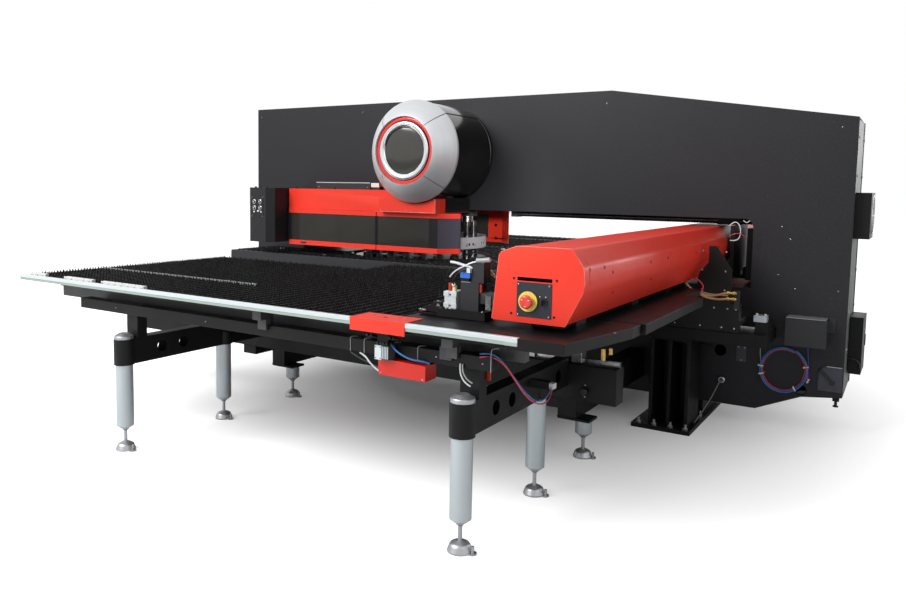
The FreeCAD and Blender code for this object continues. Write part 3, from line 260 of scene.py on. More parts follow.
finishes = [                # of the nodes that keep their own shape
    (charcoal, ("frame_side_plate_near", "frame_side_plate_far", "turret_control_box")),
    (rearGreen, ("frame_outer_webs",)),
    (blackPaint, ("frame_inner_webs", "gantry_ledges", "floor_plates", "box_beams", "table_guide_beams",
        "rear_cabinet", "gantry_beam", "gantry_trucks", "rear_cabinet_door")),
    (greyCast, ("bearing_housings",)),
    (redPaint, ("motor_step_cover",)),
    (boxGrey, ("fixed_tables",)),
    (groundSteel, ("guide_rails", "rail_bearing_blocks", "punch_ram", "gauge_pin")),
    (silverPaint, ("leg_tubes",)),
    (castSilver, ("leg_hardware",)),
    (deckGrey, ("side_tables",)),
    (tableBlack, ("flat_plates",)),
    (turretSteel, ("upper_turret",)),
    (toolSteel, ("turret_tools", "active_punch", "lower_turret")),
]
softEdges = [               # bevel widths of the same nodes
    (0.004, ("frame_side_plate_near", "frame_side_plate_far", "turret_control_box")),
    (0.003, ("frame_outer_webs", "motor_step_cover", "gantry_ledges", "floor_plates", "box_beams",
        "table_guide_beams", "rear_cabinet", "flat_plates", "bearing_housings")),
    (0.002, ("fixed_tables", "gantry_beam", "gantry_trucks", "rail_bearing_blocks", "side_tables",
        "rear_cabinet_door")),
]


def soften(piece, width, angle):
    soft = piece.modifiers.new("softEdges", "BEVEL")
    soft.width = width
    soft.segments = 2
    soft.limit_method = "ANGLE"
    soft.angle_limit = math.radians(angle)
    soft.harden_normals = True


for material, names in finishes:
    for name in names:
        slots = nodes[name].data.materials
        for i in range(len(slots)):
            slots[i] = material
for width, names in softEdges:
    for name in names:
        weld = nodes[name].modifiers.new("joined", "WELD")
        weld.merge_threshold = 0.00001
        soften(nodes[name], width, 40)
print("finishes on the frame's nodes")


# what every piece is made with
def newPiece(name, body, bm, materials, replaces=(), bevel=0.0, angle=35):
    mesh = bpy.data.meshes.new(name)
    bmesh.ops.recalc_face_normals(bm, faces=bm.faces)
    bm.to_mesh(mesh)
    bm.free()
    return placePiece(name, body, mesh, materials, replaces, bevel, angle)


def placePiece(name, body, mesh, materials, replaces=(), bevel=0.0, angle=35):
    for material in materials:
        mesh.materials.append(material)
    mesh.shade_smooth()
    mesh.set_sharp_from_angle(angle=math.radians(angle))
    piece = bpy.data.objects.new(name, mesh)
    bpy.context.scene.collection.objects.link(piece)
    if bevel:
        soften(piece, bevel, 35)
    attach(piece, body)
    if replaces:
        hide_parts(*replaces)
    return piece


def addBox(bm, low, high, slot=0):
    corners = bmesh.ops.create_cube(bm, size=1)["verts"]
    for corner in corners:
        corner.co = [low[i] + (corner.co[i] + 0.5) * (high[i] - low[i]) for i in range(3)]
    for face in {face for corner in corners for face in corner.link_faces}:
        face.material_index = slot


def addBoxes(bm, boxes, shift=0.0):
    for (x0, y0, z0), (x1, y1, z1), slot in boxes:
        addBox(bm, (x0, y0 + shift, z0), (x1, y1 + shift, z1), slot)


def addHull(bm, corners):
    bmesh.ops.convex_hull(bm, input=[bm.verts.new(corner) for corner in corners])


def addTurned(bm, centre, axis, profile, sides=24, slots=0, arc=None, side=None):
    axis = Vector(axis).normalized()
    across = Vector(side) if side else axis.orthogonal().normalized()
    up = axis.cross(across)
    start, end = arc or (0, 2 * math.pi)
    count = sides + 1 if arc else sides
    rings = []
    for radius, along in profile:
        middle = Vector(centre) + axis * along
        if radius < 1e-6:
            rings.append([bm.verts.new(middle)] * count)
            continue
        ring = []
        for i in range(count):
            angle = start + (end - start) * i / sides
            ring.append(bm.verts.new(middle + radius * (math.cos(angle) * across + math.sin(angle) * up)))
        rings.append(ring)
    pairs = list(zip(rings, rings[1:]))
    if arc:
        pairs.append((rings[-1], rings[0]))
    for k, (first, second) in enumerate(pairs):
        for i in range(sides):
            j = (i + 1) % count
            corners = []
            for corner in (first[i], first[j], second[j], second[i]):
                if corner not in corners:
                    corners.append(corner)
            if len(corners) > 2:
                face = bm.faces.new(corners)
                face.material_index = slots if isinstance(slots, int) else slots[k]
    if arc:
        for i in (0, sides):
            face = bm.faces.new([ring[i] for ring in rings])
            face.material_index = slots if isinstance(slots, int) else slots[0]


def addRod(bm, start, end, radius, slot=0, sides=16):
    along = Vector(end) - Vector(start)
    profile = [(0, 0), (radius, 0), (radius, along.length), (0, along.length)]
    addTurned(bm, start, along, profile, sides, slot)


def addRods(bm, rods, shift=0.0):
    for (x0, y0, z0), (x1, y1, z1), radius, slot, sides in rods:
        addRod(bm, (x0, y0 + shift, z0), (x1, y1 + shift, z1), radius, slot, sides)


def addScrew(bm, place, normal, radius, height=None, slot=0, sides=10):
    high = height or radius * 0.8
    profile = [(0, 0), (radius, 0), (radius, high * 0.75), (radius * 0.82, high), (radius * 0.5, high),
               (radius * 0.45, high * 0.45), (0, high * 0.45)]
    addTurned(bm, Vector(place) - Vector(normal) * 0.001, normal, profile, sides, slot)


def addScrews(bm, places, normal, radius, height, slot=0, sides=10):
    for place in places:
        addScrew(bm, place, normal, radius, height, slot, sides)


# a raised rim round a sunk disc; a black disc is painted shade standing for the inside of a hole
def addDish(bm, place, normal, radius, rimSlot=0, holeSlot=1, sides=20, rim=1.18, proud=0.0012):
    low = proud * 0.6
    wide = radius * rim
    profile = [(0, 0), (wide, 0), (wide, proud), (radius, proud), (radius * 0.92, low), (0, low)]
    addTurned(bm, Vector(place) - Vector(normal) * 0.0005, normal, profile, sides,
              [rimSlot, rimSlot, rimSlot, holeSlot, holeSlot])


def span(side, near, far):  # the two depths of a box on the +Y or the -Y side, in rising order
    return sorted((side * near, side * far))


def solidsOf(bm):
    seen = set()
    for face in bm.faces:
        if face in seen:
            continue
        group, stack = [], [face]
        seen.add(face)
        while stack:
            current = stack.pop()
            group.append(current)
            for edge in current.edges:
                for other in edge.link_faces:
                    if other not in seen:
                        seen.add(other)
                        stack.append(other)
        yield group


def boxOf(faces):
    places = [vert.co for face in faces for vert in face.verts]
    return [min(p[i] for p in places) for i in range(3)], [max(p[i] for p in places) for i in range(3)]


def nodeMesh(node):
    bm = bmesh.new()
    bm.from_mesh(nodes[node].data)
    bmesh.ops.remove_doubles(bm, verts=bm.verts, dist=0.00001)
    return bm


def recast(name, node, body, materials, pick=None, bevel=0.002, drop=None):
    bm = nodeMesh(node)
    gone = []
    for faces in list(solidsOf(bm)):
        low, high = boxOf(faces)
        if drop and drop(low, high):
            gone += faces
            continue
        for face in faces:
            face.material_index = pick(low, high, face.calc_center_median(), face.normal) if pick else 0
    bmesh.ops.delete(bm, geom=gone, context="FACES")
    bmesh.ops.dissolve_limit(bm, angle_limit=math.radians(0.4), verts=bm.verts, edges=bm.edges,
                             delimit={"MATERIAL"})
    return newPiece(name, body, bm, materials, (node,), bevel)


def curve(name, points, radius, material, body, resolution=6):
    data = bpy.data.curves.new(name, "CURVE")
    data.dimensions = "3D"
    data.bevel_depth = radius
    data.bevel_resolution = 2
    data.use_fill_caps = True
    data.resolution_u = resolution
    spline = data.splines.new("NURBS")
    spline.points.add(len(points) - 1)
    for point, place in zip(spline.points, points):
        point.co = (*place, 1)
    spline.order_u = 3
    spline.use_endpoint_u = True
    data.materials.append(material)
    piece = bpy.data.objects.new(name, data)
    bpy.context.scene.collection.objects.link(piece)
    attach(piece, body)
    return piece


earthWire = {
    "radius": 0.004,
    "length": 0.434,
    "route": [
        (1.818, -0.322, 0.304), (1.818, -0.350, 0.304), (1.813, -0.374, 0.290), (1.803, -0.388, 0.262),
        (1.788, -0.399, 0.222), (1.767, -0.418, 0.170), (1.745, -0.447, 0.124), (1.727, -0.483, 0.085),
        (1.713, -0.524, 0.056), (1.705, -0.566, 0.036), (1.705, -0.596, 0.036)],
}
wire = curve("earthWire", earthWire["route"], earthWire["radius"], wireGrey, "frame", resolution=8)
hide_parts("earth_cable")
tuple(earthWire["route"][0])
print("earth wire")

# motor cover: drum, four ring sectors, red ring and lens
motor = {
    "axis": (-0.450, 1.910), "drum": 0.395, "sides": 96, "gap": 0.0035, "seams": 45, "seamRadius": 0.33,
    "ring": [
        (0.403, -0.872), (0.403, -0.889), (0.398, -0.897), (0.372, -0.934), (0.336, -0.978), (0.299, -1.014),
        (0.268, -1.038), (0.264, -1.040), (0.261, -1.034), (0.261, -1.020), (0.330, -0.960), (0.395, -0.875)],
    # painted shade: the plug under the ring sectors is black, so the gaps between the sectors and round the
    # red ring show dark
    "plug": [
        (0, 0.866), (0.396, 0.866), (0.392, 0.880), (0.328, 0.955), (0.262, 1.014), (0.250, 1.000),
        (0, 0.99)],
    "nose": [
        (0, 0.995), (0.2615, 0.995), (0.2615, 1.016), (0.258, 1.022), (0.250, 1.025), (0.233, 1.022),
        (0.229, 1.012), (0.226, 1.012), (0.2255, 1.030), (0.222, 1.0355), (0.212, 1.038), (0.198, 1.0365),
        (0.184, 1.030), (0.1785, 1.022), (0.1775, 1.014), (0.1755, 1.014), (0.1745, 1.020), (0.150, 1.0235),
        (0.100, 1.0270), (0.050, 1.0288), (0, 1.0294)],
    # slot 3 paints the two sunk steps black: painted shade in the gaps round the bezel
    "noseSlots": [0, 0, 0, 0, 0, 0, 3, 3, 1, 1, 1, 1, 1, 1, 3, 3, 2, 2, 2, 2],
    "drumSteps": [(0, 0.300), (0, 0.333), (0.004, 0.337), (0.004, 0.341), (0.001, 0.345), (0.001, 0.866)],
    "stripTurns": (47.5, 132.5), "strip": 0.0034, "stripShift": 0.0035, "stripSunk": 0.002,
    "stripRun": (-0.862, -0.345), "screwTurns": (53, 60, 67, 74), "screwLine": -0.385,
}


def outward(turn):          # from the motor's axis, in degrees above +X
    return Vector((math.cos(math.radians(turn)), 0, math.sin(math.radians(turn))))


def makeMotorCover():
    x, z = motor["axis"]
    r = motor["drum"]
    centre, forward = (x, 0, z), (0, -1, 0)
    gap = motor["gap"] / motor["seamRadius"]
    bm = bmesh.new()
    profile = [(radius, -y) for radius, y in motor["ring"]]
    for k in range(4):
        start = math.radians(motor["seams"] + 90 * k) + gap
        addTurned(bm, centre, forward, profile, 32, 0, (start, start + math.pi / 2 - 2 * gap), (1, 0, 0))
    addTurned(bm, centre, forward, motor["plug"], motor["sides"], 1)
    newPiece("motorConeRing", "frame", bm, [spunMetal, blackPaint], ("motor_cone_ring",))
    bm = bmesh.new()
    addTurned(bm, centre, forward, motor["nose"], motor["sides"], motor["noseSlots"])
    materials = [redGloss, bezelMetal, glassBlack, blackPaint]
    newPiece("motorNose", "frame", bm, materials, ("motor_nose",), angle=50)
    bm = bmesh.new()
    steps = [(r - inset, along) for inset, along in motor["drumSteps"]]
    addTurned(bm, centre, forward, [(0, steps[0][1]), *steps, (0, steps[-1][1])], motor["sides"])
    newPiece("motorDrum", "frame", bm, [blackGloss], ("motor_drum",))
    bm = bmesh.new()
    for turn in motor["stripTurns"]:                 # lid strips
        out = outward(turn)
        along = Vector((-out.z, 0, out.x))
        for shift in (-motor["stripShift"], motor["stripShift"]):
            middle = Vector((x, 0, z)) + out * (r - motor["stripSunk"]) + along * shift
            low, high = (middle + Vector((0, y, 0)) for y in motor["stripRun"])
            addRod(bm, low, high, motor["strip"], 0, 6)
    for turn in motor["screwTurns"]:
        out = outward(turn)
        addScrew(bm, Vector((x, motor["screwLine"], z)) + out * (r - 0.001), out, 0.006, 0.003)
    newPiece("motorLidStrips", "frame", bm, [blackPaint])


makeMotorCover()
print("motor cover")

# turret guards, their windows and the door
duct = {"along": (-1.655, -1.055), "back": (-0.640, -0.560), "foot": 1.6015, "top": 1.662, "lid": 0.006,
        "screwIn": 0.03, "screwLevel": 1.622}
guard = {
    "band": (1.146, 1.384), "closedEnd": -0.66, "sideWindow": -0.2, "sideRim": -0.265,
    "doorPane": (-0.789, -0.783),
    "fasciaScrews": [(-1.79, -0.7965, 1.405), (-1.32, -0.7965, 1.405)],
    "holes": [(-0.568, 0.7795, 1.271), (-0.563, 0.7795, 1.143)], "hole": 0.013,
    "hoodBolts": [(-2.06, -0.99, 1.604), (-2.00, -0.99, 1.604), (-1.93, -0.99, 1.604)],
    "roofBolts": [(-1.825, -0.72, 1.601), (-1.60, -0.72, 1.601), (-1.38, -0.72, 1.601)],
    "strips": [
        ((-0.2750, -0.680, 1.430), (-0.2630, -0.303, 1.545), 0),         # trunking beside the hood
        # painted shade: black strips stand for the shade in the gaps between door and guard
        ((-0.8755, -0.7972, 1.1050), (-0.8695, -0.7955, 1.1450), 0),     # gap between door and guard
        ((-0.8755, -0.7972, 1.3860), (-0.8695, -0.7955, 1.4240), 0)],
    "stile": [(-0.358, -0.7895), (-0.317, -0.7895), (-0.272, -0.7545)],  # black post of the corner
    "stileDeep": 0.006, "stileLevels": (1.1500, 1.3800),
    # painted highlight: thin zinc strips along the edges of the step's plate
    "stepEdgeHighlight": [                                    # light edge of the step's plate
        ((-0.806, -0.8535, 1.428), (-0.267, -0.8518, 1.4305), 0),
        ((-0.2655, -0.8535, 1.430), (-0.263, -0.8518, 1.537), 0)],
    "stepScrews": [(x, -0.852, z) for x in (-0.79, -0.54, -0.28) for z in (1.445, 1.525)],
    "doorTrim": [
        ((-1.838, -0.7985, 1.425), (-0.885, -0.7958, 1.4285), 0),        # drip edge
        ((-1.700, -0.802, 1.118), (-1.640, -0.796, 1.132), 1)],          # pull
}


def inBand(centre):
    return guard["band"][0] < centre.z < guard["band"][1]


def guardPick(low, high, centre, normal):
    return 1 if inBand(centre) and not (centre.y > 0 and centre.x > guard["closedEnd"]) else 0


def windowPick(low, high, centre, normal):
    if high[0] < guard["sideWindow"]:
        return 0
    return 2 if centre.x < guard["sideRim"] else 1


def doorPick(low, high, centre, normal):
    if low[1] > guard["doorPane"][0] and high[1] < guard["doorPane"][1]:
        return 1
    return 2 if inBand(centre) else 0


recast("turretGuards", "turret_guards", "frame", [redPaint, blackPaint], guardPick, 0.0025)
recast("guardWindows", "guard_windows", "frame", [smoked, smokedSide, blackPaint], windowPick, 0.0006)
recast("guardDoor", "guard_door", "door", [redPaint, smoked, blackPaint], doorPick, 0.0012)


def makeGuardDetails():
    bm = bmesh.new()
    addScrews(bm, guard["fasciaScrews"], (0, -1, 0), 0.0025, 0.002, 1)
    # the holes are black rims round black discs: painted shade for their insides
    for place in guard["holes"]:
        addDish(bm, place, (0, -1, 0), guard["hole"], 0, 0)
    addScrews(bm, guard["hoodBolts"], (0, 0, 1), 0.010, 0.012)
    addScrews(bm, guard["roofBolts"], (0, 0, 1), 0.011, 0.016)
    addBoxes(bm, guard["strips"])
    for post in zip(guard["stile"], guard["stile"][1:]):
        addHull(bm, [(x, y + deep, z) for x, y in post for deep in (0, guard["stileDeep"])
                     for z in guard["stileLevels"]])
    newPiece("guardScrews", "frame", bm, [blackPaint, zincSteel])
    bm = bmesh.new()
    x0, x1 = duct["along"]
    y0, y1 = duct["back"]
    addBoxes(bm, [((x0, y0, duct["foot"]), (x1, y1, duct["top"]), 2),
                  ((x0, y0 - 0.002, duct["top"] - duct["lid"]), (x1, y1, duct["top"] + 0.001), 1),
                  ((x1 + 0.006, -0.635, 1.624), (x1 + 0.090, -0.566, 1.660), 0),
                  ((x1 + 0.002, -0.625, duct["foot"]), (x1 + 0.094, -0.575, 1.626), 2)])
    places = [(x, y0, duct["screwLevel"]) for x in (x0 + duct["screwIn"], x1 - duct["screwIn"])]
    addScrews(bm, places, (0, -1, 0), 0.004, 0.003, 1)
    newPiece("ductFittings", "frame", bm, [whitePlastic, silverPaint, boxGrey], bevel=0.002)
    bm = bmesh.new()
    addBoxes(bm, guard["stepEdgeHighlight"])
    addScrews(bm, guard["stepScrews"], (0, -1, 0), 0.004, 0.002)
    newPiece("stepCoverHighlightAndScrews", "frame", bm, [zincSteel])
    bm = bmesh.new()
    addBoxes(bm, guard["doorTrim"])
    newPiece("doorTrim", "door", bm, [redPaint, blackPlastic], bevel=0.001)


makeGuardDetails()
print("guards and door")

# control box: inset plate and four buttons
controlBox = {
    "plate": ((-2.095, -1.0105, 1.345), (-1.955, -1.0080, 1.525)),
    "collar": [(0, 0), (0.021, 0), (0.021, 0.004), (0.0155, 0.006), (0.0150, 0.001), (0, 0.001)],
    "screws": [(-2.088, 1.518), (-1.962, 1.518), (-2.088, 1.352), (-1.962, 1.352)],
    "labels": [(-2.070, 1.385, 0.016), (-2.025, 1.392, 0.020), (-1.985, 1.385, 0.014)],
    "label": (0.0012, 0.012),                        # thickness and height
    "buttons": [(-2.060, 1.480), (-1.990, 1.480), (-2.060, 1.425), (-1.990, 1.425)],
    "button": 0.0135,
}


def makeControlBox():
    bm = bmesh.new()
    addBox(bm, *controlBox["plate"])
    y = controlBox["plate"][0][1]
    for x, z in controlBox["buttons"]:
        addTurned(bm, (x, y, z), (0, -1, 0), controlBox["collar"], 24, 1)
    addScrews(bm, [(x, y, z) for x, z in controlBox["screws"]], (0, -1, 0), 0.004, 0.002, 1)
    thick, tall = controlBox["label"]
    addBoxes(bm, [((x, y - thick, z), (x + wide, y, z + tall), 2) for x, z, wide in controlBox["labels"]])
    newPiece("controlBoxPlate", "frame", bm, [blackPlastic, zincSteel, whitePlastic], bevel=0.0008)
    r = controlBox["button"]
    for number, (x, z) in enumerate(controlBox["buttons"], 1):
        node = "control_button_%d" % number
        low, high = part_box(node)
        deep = high.y - low.y
        bm = bmesh.new()
        profile = [(0, 0), (r, 0), (r, deep - 0.003), (r * 0.86, deep), (r * 0.5, deep - 0.0008),
                   (r * 0.42, deep - 0.0004), (0, deep - 0.0004)]
        addTurned(bm, (x, high.y, z), (0, -1, 0), profile, 24, [0, 0, 0, 0, 1, 1])
        newPiece("controlButton%d" % number, "button_%d" % number, bm, [blackPlastic, whitePlastic], (node,))


makeControlBox()
print("control box")

# brush tables: a base strip and splayed tufts in place of each plain strip
brush = {"step": 0.022, "spikes": 4, "width": 0.0045, "leanX": 0.0006, "leanY": 0.0015, "base": 0.45,
         "end": 0.006, "loose": 0.002, "spread": 0.003, "uneven": 0.10}
boxRings = ((0, 2, 3, 1), (4, 5, 7, 6), (0, 1, 5, 4), (2, 6, 7, 3), (0, 4, 6, 2), (1, 3, 7, 5))
spikeRings = ((0, 1, 3), (1, 2, 3), (2, 0, 3), (0, 2, 1))


def makeBrushes(name, node, body):
    points, faces = [], []
    loose, spread, wide = brush["loose"], brush["spread"], brush["width"]
    bm = nodeMesh(node)
    strips = [boxOf(group) for group in solidsOf(bm)]
    bm.free()

    def addSolid(corners, rings):
        start = len(points)
        points.extend(corners)
        faces.extend(tuple(start + i for i in ring) for ring in rings)

    for low, high in strips:
        tall = high[2] - low[2]
        top = low[2] + brush["base"] * tall
        addSolid([(x, y, z) for z in (low[2], top) for y in (low[1], high[1]) for x in (low[0], high[0])],
                 boxRings)
        middle = (low[0] + high[0]) / 2
        run = high[1] - low[1] - 2 * brush["end"]
        count = max(1, int(run / brush["step"]))
        for k in range(count):
            y = low[1] + brush["end"] + (k + 0.5) * run / count + random.uniform(-loose, loose)
            for spike in range(brush["spikes"]):
                turn = random.uniform(0, 2 * math.pi)
                root = (middle + random.uniform(-loose, loose), y + random.uniform(-spread, spread))
                tip = (root[0] + random.uniform(-1, 1) * brush["leanX"],
                       min(max(root[1] + random.uniform(-1, 1) * brush["leanY"], low[1]), high[1]),
                       high[2] - abs(random.gauss(0, brush["uneven"])) * tall)
                foot = [(root[0] + wide * math.cos(a), root[1] + wide * math.sin(a), top - 0.001)
                        for a in (turn, turn + 2.094, turn + 4.189)]
                addSolid(foot + [tip], spikeRings)
    mesh = bpy.data.meshes.new(name)
    mesh.from_pydata(points, [], faces)
    placePiece(name, body, mesh, [bristle], (node,))
    print(name, len(strips), "strips", len(faces), "faces")
    return strips


sideStrips = makeBrushes("sideTableBrushes", "side_table_brushes", "gantry")
fixedStrips = makeBrushes("fixedTableBrushes", "fixed_table_brushes", "frame")

deck = {
    "side": 1.004, "fixed": 1.020, "sidePitch": 0.31, "fixedPitch": 0.27, "every": 3, "beside": 0.018,
    "ends": (0.09, 0.05), "group": (0, 0.030, 0.060), "screw": 0.0055,
}


def makeDeckScrews(name, body, strips, level, pitch):
    bm = bmesh.new()
    for k, (low, high) in enumerate(strips[::deck["every"]]):
        y = low[1] + deck["ends"][0]
        while y < high[1] - deck["ends"][1]:
            places = [(high[0] + deck["beside"], y + shift, level) for shift in deck["group"][:2 + k % 2]]
            addScrews(bm, places, (0, 0, 1), deck["screw"], 0.006, 0, 8)
            y += pitch
    newPiece(name, body, bm, [zincSteel])


makeDeckScrews("sideDeckScrews", "gantry", sideStrips, deck["side"], deck["sidePitch"])
makeDeckScrews("fixedDeckScrews", "frame", fixedStrips, deck["fixed"], deck["fixedPitch"])

edge = {
    "white": 0.020, "deep": 0.024, "set": 0.004, "pastX": 1.0, "endX": 1.582, "runOn": (1.520, 0.0006, 0.010),
    "slides": [(-2.00, -1.82), (-1.62, -1.33), (-1.24, -0.84)], "slideY": (3.108, 3.134),
    "slideZ": (1.0035, 1.0310), "jointY": (2.600, 2.603), "jointX": (-1.98, -0.46), "jointTop": 1.0265,
    "jointScrews": (-1.9, -1.6, -1.3, -1.0, -0.7, -0.5),
}


def makeEdgeTrim():
    bm = bmesh.new()
    gone = nodeMesh("table_edge_profiles")
    for faces in solidsOf(gone):
        low, high = boxOf(faces)
        outer, inward = (low[1], 1) if low[1] < 0 else (high[1], -1)
        front = high[0] > edge["pastX"]
        split = high[2] - edge["white"]
        for depth, z0, z1, slot in ((0, split, high[2], 0), (edge["set"], low[2], split, 1)):
            ys = sorted((outer + inward * depth, outer + inward * edge["deep"]))
            addBox(bm, (low[0], ys[0], z0), (edge["endX"] if front else high[0], ys[1], z1), slot)
        if front and outer < 0:                      # the lower band runs on past the end of the profile
            x, y0, y1 = edge["runOn"]
            addBox(bm, (x, outer + y0, low[2]), (edge["endX"], outer + y1, split), 1)
    gone.free()
    newPiece("tableEdgeProfiles", "gantry", bm, [bandWhite, bandGreen], ("table_edge_profiles",), 0.0015)
    bm = bmesh.new()
    low, high = edge["slideZ"]
    for side in (-1, 1):
        y0, y1 = span(side, *edge["slideY"])
        addBoxes(bm, [((x0, y0, low), (x1, y1, high), 0) for x0, x1 in edge["slides"]])
        y0, y1 = span(side, *edge["jointY"])         # joint between the table plates
        addBox(bm, (edge["jointX"][0], y0, low), (edge["jointX"][1], y1, edge["jointTop"]), 1)
        places = [(x, side * 2.6015, 1.0260) for x in edge["jointScrews"]]
        addScrews(bm, places, (0, 0, 1), 0.005, 0.003, 1)
    newPiece("tableStrips", "gantry", bm, [whitePlastic, extruded], bevel=0.001)


makeEdgeTrim()
print("tables")

# carriage cover: seams, holes, painted highlight lines along its ends and ridge, and operator's plate
cover = {
    "seams": (-2.94, -1.70, 0.0, 1.70, 2.94), "seam": 0.0013,
    # painted highlight: thin pale-red rods along the cover's ends and ridge
    "ends": (-2.9985, 2.9985), "highlightRod": 0.0016,
    "ridge": ((1.7275, -2.99, 1.3838), (1.7275, 2.99, 1.3838)),
    "section": [
        (1.367, 1.060), (1.397, 1.343), (1.407, 1.3565), (1.479, 1.3835), (1.491, 1.3850), (1.726, 1.3850),
        (1.738, 1.3795), (1.779, 1.3220), (1.789, 1.2960), (1.794, 1.2440), (1.786, 1.2030), (1.713, 1.0570)],
    "sideHoles": [
        (1.788, -2.931, 1.297), (1.789, -2.754, 1.294), (1.792, -2.651, 1.265), (1.792, -2.072, 1.268),
        (1.792, -1.749, 1.267), (1.793, -1.126, 1.261), (1.793, -0.487, 1.256)],
    "sideNormal": (0.994, 0, 0.11),
    "lowHoles": [(1.771, -1.983, 1.171), (1.770, -1.655, 1.170), (1.768, -2.574, 1.165)],
    "lowNormal": (0.89, 0, -0.455),
    "end": 3.0,
    "endHoles": [(1.472, 1.245), (1.671, 1.248), (1.462, 1.091), (1.663, 1.092)],
    "endDots": [(1.441, 1.313), (1.527, 1.319), (1.605, 1.315)],
    "hole": 0.0085, "endHole": 0.0058, "endDot": 0.0026,
}
recast("carriageCover", "carriage_cover", "gantry", [redPaint], None, 0.005)


def makeCoverDetails():
    bm = bmesh.new()
    # the seams are thin rods in the shaded red (painted shade), the ends and the ridge thin rods in the pale
    # red (painted highlight)
    lines = [(y, cover["seam"], 0) for y in cover["seams"]]
    lines += [(y, cover["highlightRod"], 1) for y in cover["ends"]]
    for y, radius, slot in lines:
        for (x0, z0), (x1, z1) in zip(cover["section"], cover["section"][1:]):
            addRod(bm, (x0, y, z0), (x1, y, z1), radius, slot, 6)
    addRod(bm, *cover["ridge"], cover["highlightRod"], 1, 6)
    newPiece("coverSeamsAndHighlights", "gantry", bm, [shadedRed, paintedHighlightRed])
    bm = bmesh.new()
    # the holes are red rims round black discs: the black is painted shade for their insides
    for holes, normal in (("sideHoles", "sideNormal"), ("lowHoles", "lowNormal")):
        for x, y, z in cover[holes]:
            for side in (1, -1):
                addDish(bm, (x, y * side, z), cover[normal], cover["hole"], 0, 1, 16, 1.25, 0.0016)
    for x, z in cover["endHoles"]:
        for side in (-1, 1):
            addDish(bm, (x, cover["end"] * side, z), (0, side, 0), cover["endHole"], 0, 1, 16, 1.3, 0.0012)
    for x, z in cover["endDots"]:
        for side in (-1, 1):
            addDish(bm, (x, cover["end"] * side, z), (0, side, 0), cover["endDot"], 1, 1, 10, 1.1, 0.0006)
    newPiece("coverHoles", "gantry", bm, [redPaint, blackPaint])


makeCoverDetails()

operator = {
    "plate": ((1.488, 1.650), (1.082, 1.232)), "front": -3.0070, "screwIn": 0.009,
    "stop": (1.545, 1.150), "collar": 0.046, "marks": (90, 210, 330), "markRing": 0.037, "markLevel": -3.0132,
    "mark": (0.004, 0.0004, 0.002),
    "selector": (1.612, 1.152), "dots": (60, 120), "dotRing": 0.027, "dot": (0.002, 0.0004, 0.002),
    "ring": [(0.0095, 0), (0.020, 0), (0.020, 0.0010), (0.0185, 0.0014), (0.0095, 0.0014), (0.0095, 0)],
    "head": [                                        # of the stop button: radius, distance under its face
        (0.019, 0.017), (0.026, 0.0155), (0.0295, 0.012), (0.0299, 0.007), (0.0275, 0.0025), (0.022, 0),
        (0.014, 0.0005), (0.009, 0.0015), (0, 0.002)],
    "arrows": (30, 150, 270), "arrowRing": 0.0185, "arrow": (0.0038, 0.0002, 0.0012),
    "knob": 0.0125, "bar": 0.0035, "pointer": (0.0008, 0.003, 0.012),
}


def collarPick(low, high, centre, normal):
    near = math.dist((centre.x, centre.z), operator["stop"]) < operator["collar"]
    return 1 if near and centre.y < operator["front"] - 0.0001 else 0


recast("coverControlPlate", "cover_control_plate", "gantry", [darkPlate, yellowPlastic], collarPick, 0.0015)


def makeOperatorPlate():
    (x0, x1), (z0, z1) = operator["plate"]
    y, inset = operator["front"], operator["screwIn"]
    sx, sz = operator["stop"]
    kx, kz = operator["selector"]

    def addMarks(x, level, z, turns, ring, half, deep):
        for turn in turns:
            a = math.radians(turn)
            at = Vector((x + ring * math.cos(a), level, z + ring * math.sin(a)))
            addBox(bm, at - Vector(half), at + Vector((half[0], deep, half[2])), 1)

    bm = bmesh.new()
    places = [(x, y, z) for x in (x0 + inset, x1 - inset) for z in (z0 + inset, z1 - inset)]
    addScrews(bm, places, (0, -1, 0), 0.0042, 0.0024)
    addMarks(sx, operator["markLevel"], sz, operator["marks"], operator["markRing"], operator["mark"], 0.0004)
    addTurned(bm, (kx, y, kz), (0, -1, 0), operator["ring"], 32, 2)
    addMarks(kx, y - 0.0004, kz, operator["dots"], operator["dotRing"], operator["dot"], 0.0004)
    newPiece("controlPlateFittings", "gantry", bm, [zincSteel, whitePlastic, blackPlastic])
    low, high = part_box("estop_button")
    deep = high.y - low.y
    bm = bmesh.new()
    profile = [(0, 0), (operator["head"][0][0], 0)] + [(r, deep - under) for r, under in operator["head"]]
    addTurned(bm, (sx, high.y, sz), (0, -1, 0), profile, 48)
    addMarks(sx, low.y + 0.0002, sz, operator["arrows"], operator["arrowRing"], operator["arrow"], 0.0012)
    newPiece("estopHead", "estop", bm, [redPlastic, whitePlastic], ("estop_button",), angle=50)
    low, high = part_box("selector_knob")
    deep = high.y - low.y
    r, half = operator["knob"], operator["bar"]
    bm = bmesh.new()
    profile = [(0, 0), (r, 0), (r, deep * 0.5), (r - 0.0007, deep * 0.56), (0, deep * 0.56)]
    addTurned(bm, (kx, high.y, kz), (0, -1, 0), profile, 32)
    addBox(bm, (kx - half, low.y, kz - r), (kx + half, low.y + deep * 0.5, kz + r))
    half, z0, z1 = operator["pointer"]
    addBox(bm, (kx - half, low.y, kz + z0), (kx + half, low.y + 0.001, kz + z1), 1)
    newPiece("selectorKnob", "selector", bm, [blackPlastic, whitePlastic], ("selector_knob",), 0.0008)


makeOperatorPlate()
print("carriage cover")

